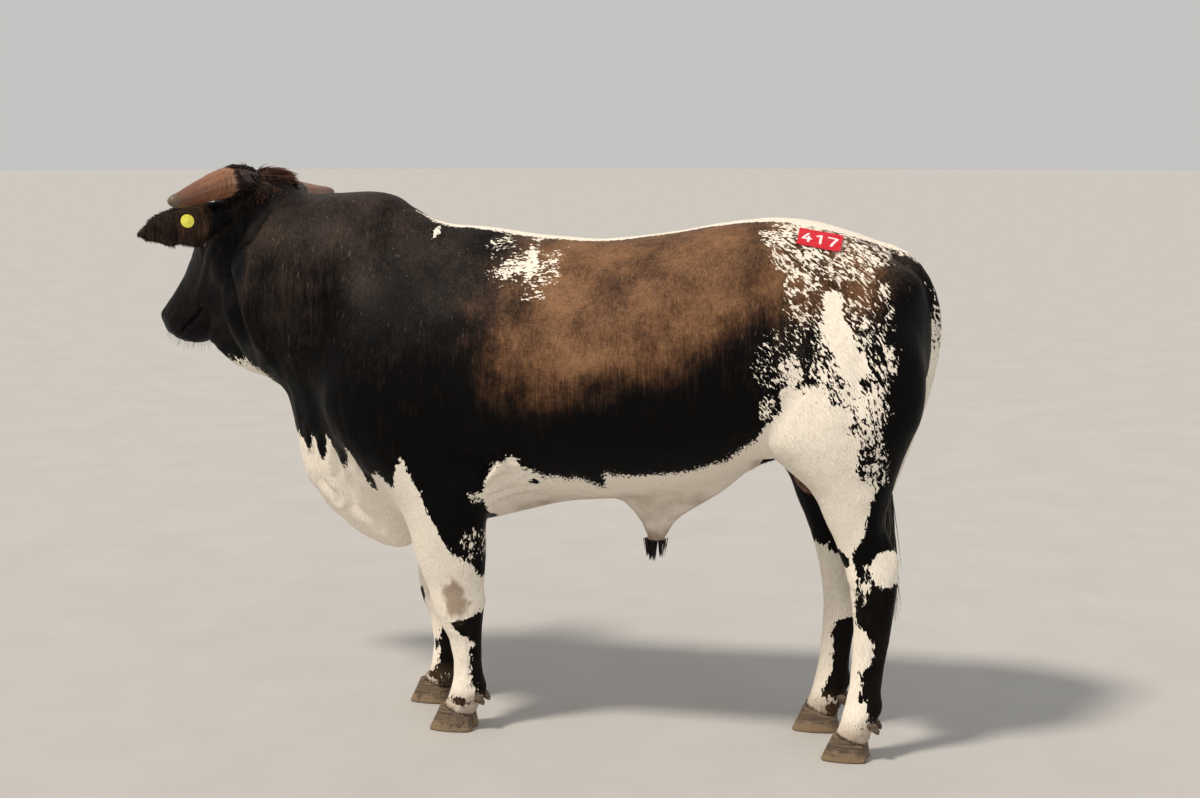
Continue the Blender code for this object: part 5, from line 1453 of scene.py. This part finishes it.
def poll_hair():
    along, left, height = head_axes(hide.centre)
    weight = ((1 - ease(np.abs(left - 0.024), 0.064, 0.088)) * ease(along, -0.055, -0.035)
              * (1 - ease(along, 0.060, 0.085)))
    weight = weight * (height > -0.06) * (hide.centre[:, 2] > 1.44)
    roots, out = hide.roots(MOP_HAIRS, weight, 201)
    draw = np.random.default_rng(202)
    along, left, height = head_axes(roots)
    # a parting near the middle: hair falls over the near horn's root on one side of it, and lies
    # up and back on the other
    aside = np.clip((left - 0.010) / 0.05, -1, 1)
    by_horn = ease(left, 0.060, 0.080)
    back = 0.40 - 0.8 * ease(along, 0.0, 0.05)
    lie = (np.array(LEFT)[None] * np.where(aside > 0, 0.9 + 0.5 * by_horn, 0.35)[:, None]
           * aside[:, None]
           - np.array(AHEAD)[None] * (back * (1 - by_horn))[:, None]
           + np.array((0, 0, 0.10)) + draw.normal(0, 0.16, (len(roots), 3)))
    length = 0.038 + 0.026 * draw.random(len(roots)) + 0.014 * by_horn
    length = length * (1 - 0.35 * ease(along, 0.02, 0.06))
    tone = (0.55 - 0.40 * aside + 0.42 * rough(roots, 0.03, 27) + draw.normal(0, 0.14, len(roots))
            - 0.6 * by_horn)
    tufts("poll_mop", roots, pressed(lie, out), out, length, 0.0062, poll.material, rings=6,
          rise=0.34, bend=0.40, wave=0.05, sag=0.16, thick=0.28, seed=203,
          clear=settled(0.002, horn_hides["left"]),
          marks={"tone": np.clip(tone, 0, 1)}, taper=0.9)


poll = Finish("poll hair", 0.5, Specular_IOR_Level=0.4)
tone, luck, end = poll.attribute("tone"), poll.attribute("luck"), poll.attribute("tip")
thread = poll.noise(poll.place, 700.0, 2.0)
poll_colour = tone.between(0.25, 0.85).mixed("1d0d08", "5b2f1c")
poll_colour = (luck * 0.8 * end * tone).mixed(poll_colour, "8c5a38")
poll_colour = (thread.between(0.4, 0.8) * 0.4).mixed(poll_colour, "1c0f0b")
poll.put("Base Color", poll_colour)
poll.put("Roughness", 0.42 + thread * 0.2)
poll_hair()


def horn_hair(side, reach_to, count, dark):
    """Hair from the poll covers the horn's root."""
    base = horn_hides[side]
    sign = 1 if side == "left" else -1
    away = (base.centre - np.array(POLL)) @ np.array(LEFT) * sign
    roots, out = base.roots(count, 1.0 - ease(away, reach_to - 0.012, reach_to), 205)
    draw = np.random.default_rng(206)
    lie = (np.array(LEFT)[None] * sign + np.array((0, 0, -0.16))
           + draw.normal(0, 0.13, (len(roots), 3)))
    lie = pressed(lie, out)
    # the collar's hair is lighter where it faces up: painted top light
    top = ease(out @ np.array(CROWN), 0.55, 0.95)
    tone = dark + 0.55 * top + draw.normal(0, 0.12, len(roots))
    length = 0.026 + 0.020 * draw.random(len(roots))
    tufts("horn_hair_" + side, roots, lie, out, length, 0.0046, poll.material, rings=5,
          rise=0.10, bend=0.14, wave=0.04, sag=0.06, thick=0.3, seed=207,
          clear=settled(0.0012, base), marks={"tone": np.clip(tone, 0, 1)},
          taper=0.9)


horn_hair("left", 0.120, 1700, 0.02)
horn_hair("right", 0.080, 900, 0.45)


# Ears. Their form is in the skin. Short dark hair fringes their edges, and longer pale hair
# fills the mouth of the cup.
EAR_LONG = 0.314
EAR_TOP = (                              # share of its length, its edge's distance from its line
    (0, 0.026), (0.3, 0.046), (0.6, 0.046), (0.88, 0.027), (1.0, 0.005))
EAR_LOW = ((0, 0.028), (0.3, 0.066), (0.48, 0.078), (0.68, 0.068), (0.88, 0.036), (1.0, 0.005))
FRINGE_HAIRS, CUP_HAIRS = 900, 700


def ear_axes(side):
    sweep, droop = math.radians(25), math.radians(13.5 if side > 0 else 18)
    away = LEFT * side * math.cos(sweep) + AHEAD * math.sin(sweep)
    line = (away * math.cos(droop) - Vector((0, 0, math.sin(droop)))).normalized()
    rise = (Vector((0, 0, 1)) - line * line.z).normalized()
    front = rise.cross(line) * side
    if front.dot(AHEAD) < 0:
        front = -front
    root = head_place(0.062, side * 0.098, -0.045 if side > 0 else -0.085)
    return [np.array(v) for v in (root, line, rise, front)]


def ear_hair(side, name):
    root, line, rise, front = ear_axes(side)
    away = hide.centre - root
    reach, up, ahead = away @ line, away @ rise, away @ front
    share = reach / EAR_LONG
    top, low = along_line(share, EAR_TOP), along_line(share, EAR_LOW)
    rim = np.maximum(np.exp(-((up - top) / 0.007) ** 2), np.exp(-((up + low) / 0.009) ** 2))
    inside = (ahead > -0.01) & ((triangle_out() @ front) > 0.35)
    on_ear = ((share > 0.12) & (share < 1.02) & (np.abs(ahead) < 0.05) & (up < top + 0.02)
              & (up > -low - 0.02))
    roots, out = hide.roots(FRINGE_HAIRS, on_ear * (rim + 0.01), 211 + side)
    draw = np.random.default_rng(212 + side)
    up = (roots - root) @ rise
    lie = unit(line * 0.8 + rise * np.sign(up)[:, None] * 0.75
               + draw.normal(0, 0.15, (len(roots), 3)))
    length = 0.005 + 0.004 * draw.random(len(roots))
    tufts(name + "_fringe", roots, lie, out, length, 0.0016, ear_dark, rings=2, rise=0.1, seed=213)
    weight = on_ear * inside * (share < 0.75) * (0.25 + rim)
    roots, out = hide.roots(CUP_HAIRS, weight, 214 + side)
    up = (roots - root) @ rise
    lie = unit(line * 0.75 - rise * np.sign(up)[:, None] * 0.45
               + draw.normal(0, 0.18, (len(roots), 3)))
    length = 0.014 + 0.014 * draw.random(len(roots))
    tufts(name + "_cup_hair", roots, lie, out, length, 0.0018, ear_pale, rings=3, rise=0.35,
          bend=0.2, seed=215)


def triangle_out():
    return unit(hide.out[hide.corners].sum(1))


ear_dark = hair_finish("ear fringe", "17100d", "3a2a20")
ear_pale = hair_finish("ear cup hair", "4a382c", "8b7460", "a08c76")
ear_hair(1, "ear_left")
ear_hair(-1, "ear_right")


# Lashes. One row of short dark lashes stands out of each upper lid, longest in the middle and
# spread a little toward the slit's corners.
LASHES = 38


def lashes(side):
    outward, slit, above = eye_frame(side)
    turn = np.linspace(-0.66, 0.66, LASHES)
    lift = TOP_LID * np.clip(1 - (turn / SLIT) ** 2, 0, 1) ** LID_BOW + 0.03
    ray = (outward[None] * (np.cos(turn) * np.cos(lift))[:, None]
           + slit[None] * (np.sin(turn) * np.cos(lift))[:, None]
           + above[None] * np.sin(lift)[:, None])
    roots = np.array(EYES[side]) + ray * (EYE_RADIUS + 0.0018)
    lie = unit(ray * 0.9 + above * 0.25 + slit[None] * turn[:, None] * 0.5)
    length = 0.0075 + 0.0055 * np.cos(turn * 1.9)
    tufts("lashes_" + side, roots, lie, np.tile(above, (len(roots), 1)), length, 0.0009,
          lash_finish, rings=3, rise=-0.10, bend=-0.35, seed=221)


lash_finish = hair_finish("lash", "070606", "15100d", gloss=0.6)
lashes("left")
lashes("right")


# Whiskers. Stiff single hairs, thinly set, stand out of the upper lip and the chin, and bow a
# little downward.
WHISKERS = 130


def whiskers():
    along, left, height = head_axes(hide.centre)
    lips = ((along > 0.47) & (along < 0.60) & (np.abs(left) < 0.11) & (height < -0.075)
            & (hide.centre[:, 0] < -0.85))
    roots, out = hide.roots(WHISKERS, lips.astype(float), 261)
    draw = np.random.default_rng(262)
    lie = unit(out * 0.8 + np.array(FACE) * 0.6 + np.array((0, 0, -0.35))
               + draw.normal(0, 0.15, (len(roots), 3)))
    length = 0.016 + 0.016 * draw.random(len(roots))
    tufts("whiskers", roots, lie, unit(np.cross(lie, np.array(LEFT))), length, 0.0008, lash_finish,
          rings=4, rise=0.0, bend=0.10, sag=0.15, seed=263)


whiskers()


# Tail switch. Long dark wavy hair hangs from the last hand's breadth of the tail, and its ends
# lie at uneven levels.
SWITCH_HAIRS, SWITCH_END, SWITCH_UNEVEN = 420, 0.335, 0.20


def switch():
    x, y, z = hide.centre.T
    on_tail = (x > 0.96) & (x < 1.045) & (np.abs(y - MIDDLE) < 0.05) & (z > 0.555) & (z < 0.70)
    on_tail &= np.hypot(x - 1.010, y + 0.0235) < 0.035
    roots, out = hide.roots(SWITCH_HAIRS, on_tail.astype(float), 231)
    draw = np.random.default_rng(232)
    lie = unit(np.array((-0.05, 0.0, -1.0)) + out * 0.10 + draw.normal(0, 0.04, (len(roots), 3)))
    end = SWITCH_END + SWITCH_UNEVEN * draw.random(len(roots)) ** 1.8
    hair = tufts("switch", roots, lie, out, roots[:, 2] - end, 0.0062, switch_finish, rings=8,
                 rise=0.035, bend=0.03, wave=0.035, seed=233, taper=0.8)
    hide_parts("tail_switch")


switch_finish = hair_finish("switch hair", "17110d", "43352a", "5d4c3c")
switch()


# Sheath hair. Black wisps, stuck together by damp, hang from the opening in four bunches of
# uneven length.
WISP_HAIRS = 52                          # in each bunch
WISPS = (                                # share of the opening, level of the tip, spread
    (0.08, 0.489, 0.0040), (0.24, 0.478, 0.0030), (0.44, 0.476, 0.0036), (0.90, 0.488, 0.0046))


def tassels():
    node = np.array([v.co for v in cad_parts["sheath"].data.vertices])
    low = node[node[:, 2] < 0.500]
    draw = np.random.default_rng(241)
    start, end = low[:, 0].min(), low[:, 0].max()
    middle = low[:, 1].mean()
    roots, ends = [], []
    for share, tip, spread_out in WISPS:
        for _ in range(WISP_HAIRS):
            x = start + (end - start) * share
            off, across = draw.normal(0, spread_out), draw.normal(0, 0.0055)
            roots.append((x + off * 1.5, middle + across * 1.4, TASSEL_CUT + 0.006))
            ends.append((x + off * 0.75, middle + across * 0.6, tip + 0.030 * draw.random() ** 1.6))
    roots, ends = np.array(roots), np.array(ends)
    length = np.linalg.norm(ends - roots, axis=1)
    out = np.tile((1.0, 0, 0), (len(roots), 1))
    tufts("sheath_wisps", roots, unit(ends - roots), out, length, 0.0036, wisp_finish, rings=6,
          rise=0.02, bend=0.02, wave=0.035, thick=0.5, seed=242, taper=0.6)


wisp_finish = hair_finish("wisp hair", "0d0a09", "1e1815", gloss=0.4)
tassels()


# Longer fur. Along the back and belly, on brisket, throat, jaw and buttocks, behind the fetlocks
# and over the tops of the claws it is a finger's breadth long at most and softens the outline.
LONG_COUNT, LONG_WIDE = 34000, 0.0019


def long_fur():
    at = hide.centre
    x, y, z = at[:, 0], np.abs(at[:, 1] - MIDDLE), at[:, 2]
    faced = triangle_out()
    along, left, height = head_axes(at)
    on_face = (along > -0.05) & (along < 0.62) & (np.abs(left) < 0.14) & (x < -0.66) & (z > 0.95)
    weight = 0.5 * ((z > 1.34) & (y < 0.07) & (x > -0.7))                      # back
    weight += 0.45 * ((faced[:, 2] < -0.35) & (y < 0.12) & (z >= 0.60))        # belly
    weight += 0.35 * ((x < -0.33) & (z < 1.12) & (z > 0.46) & (y < 0.22) & ~on_face)    # brisket
    weight += 0.5 * ((x > 1.05) & (z > 0.7) & (z < 1.2))                       # buttocks
    weight += 1.3 * ((z > 0.098) & (z < 0.150) & (faced[:, 0] > 0.2))          # fetlocks
    weight += 1.6 * ((z > 0.046) & (z < 0.088))                                # over the claws
    weight += 0.25 * (on_face & (height < -0.13) & (along < 0.40))             # jaw
    roots, out = hide.roots(LONG_COUNT, weight, 251)
    lie = combed_off(hair_lie(roots), out, 0.25, 252)
    draw = np.random.default_rng(253)
    low = roots[:, 2] < 0.2
    length = (0.008 + 0.007 * draw.random(len(roots))) * np.where(low, 1.25, 1.0)
    fore = roots[:, 0] < np.median(roots[:, 0])
    for name, part in (("fur_long_fore", fore), ("fur_long_rear", ~fore)):
        tufts(name, roots[part], lie[part], out[part], length[part], LONG_WIDE, short, rings=2,
              rise=0.16, bend=0.12, thick=0.3, wave=0.03, seed=254)


long_fur()

# Floor, light and camera. A pale floor runs out to the horizon; a big soft light stands over the
# bull's back, with a broad fill from the camera's side.
LENS, SENSOR = 63.0, 36.0
MIDDLE_ROW, HORIZON_ROW, LENS_ROWS = 399, 113, 2100    # the picture's middle, its horizon, its lens
HORIZON_DROP = math.atan((MIDDLE_ROW - HORIZON_ROW) / LENS_ROWS)
CAMERA_TURN = math.radians(15)
CAMERA_AT = Vector((1.355 + 0.36266, -5.58 - 0.03503, 1.715))

ground = bmesh.new()
bmesh.ops.create_circle(ground, cap_ends=True, segments=96, radius=60)
floor = show("floor", cast("floor", ground))
pale = Finish("pale floor", 0.85, Specular_IOR_Level=0.2)
speck = pale.noise(pale.place, 3.0, 4.0, 0.6)
pale.put("Base Color", speck.between(0.2, 0.8).mixed("b5b3b0", "bbb9b6"))
floor.data.materials.append(pale.material)

world = bpy.data.worlds.new("studio")
bpy.context.scene.world = world
world.use_nodes = True
sky = world.node_tree.nodes["Background"].inputs
sky["Color"].default_value, sky["Strength"].default_value = tint("e9e8e6"), 0.68


def sunlike(name, place, angle, strength, colour):
    data = bpy.data.lights.new(name, "SUN")
    data.angle = math.radians(angle)
    data.energy = strength
    data.color = tint(colour)[:3]
    made = show(name, data)
    made.rotation_euler = (-Vector(place)).to_track_quat("-Z", "Y").to_euler()


sunlike("key", (-1.0, -1.35, 2.4), 9, 2.75, "fff4e6")
sunlike("fill", (2.2, -3.2, 1.6), 60, 0.25, "eef3ff")

camera = bpy.data.cameras.new("camera")
camera.lens = LENS
camera.sensor_width = SENSOR
eye = show("camera", camera)
eye.location = CAMERA_AT
eye.rotation_euler = (math.pi / 2 - HORIZON_DROP, 0, CAMERA_TURN)
bpy.context.scene.camera = eye
bpy.context.scene.view_settings.view_transform = "Standard"
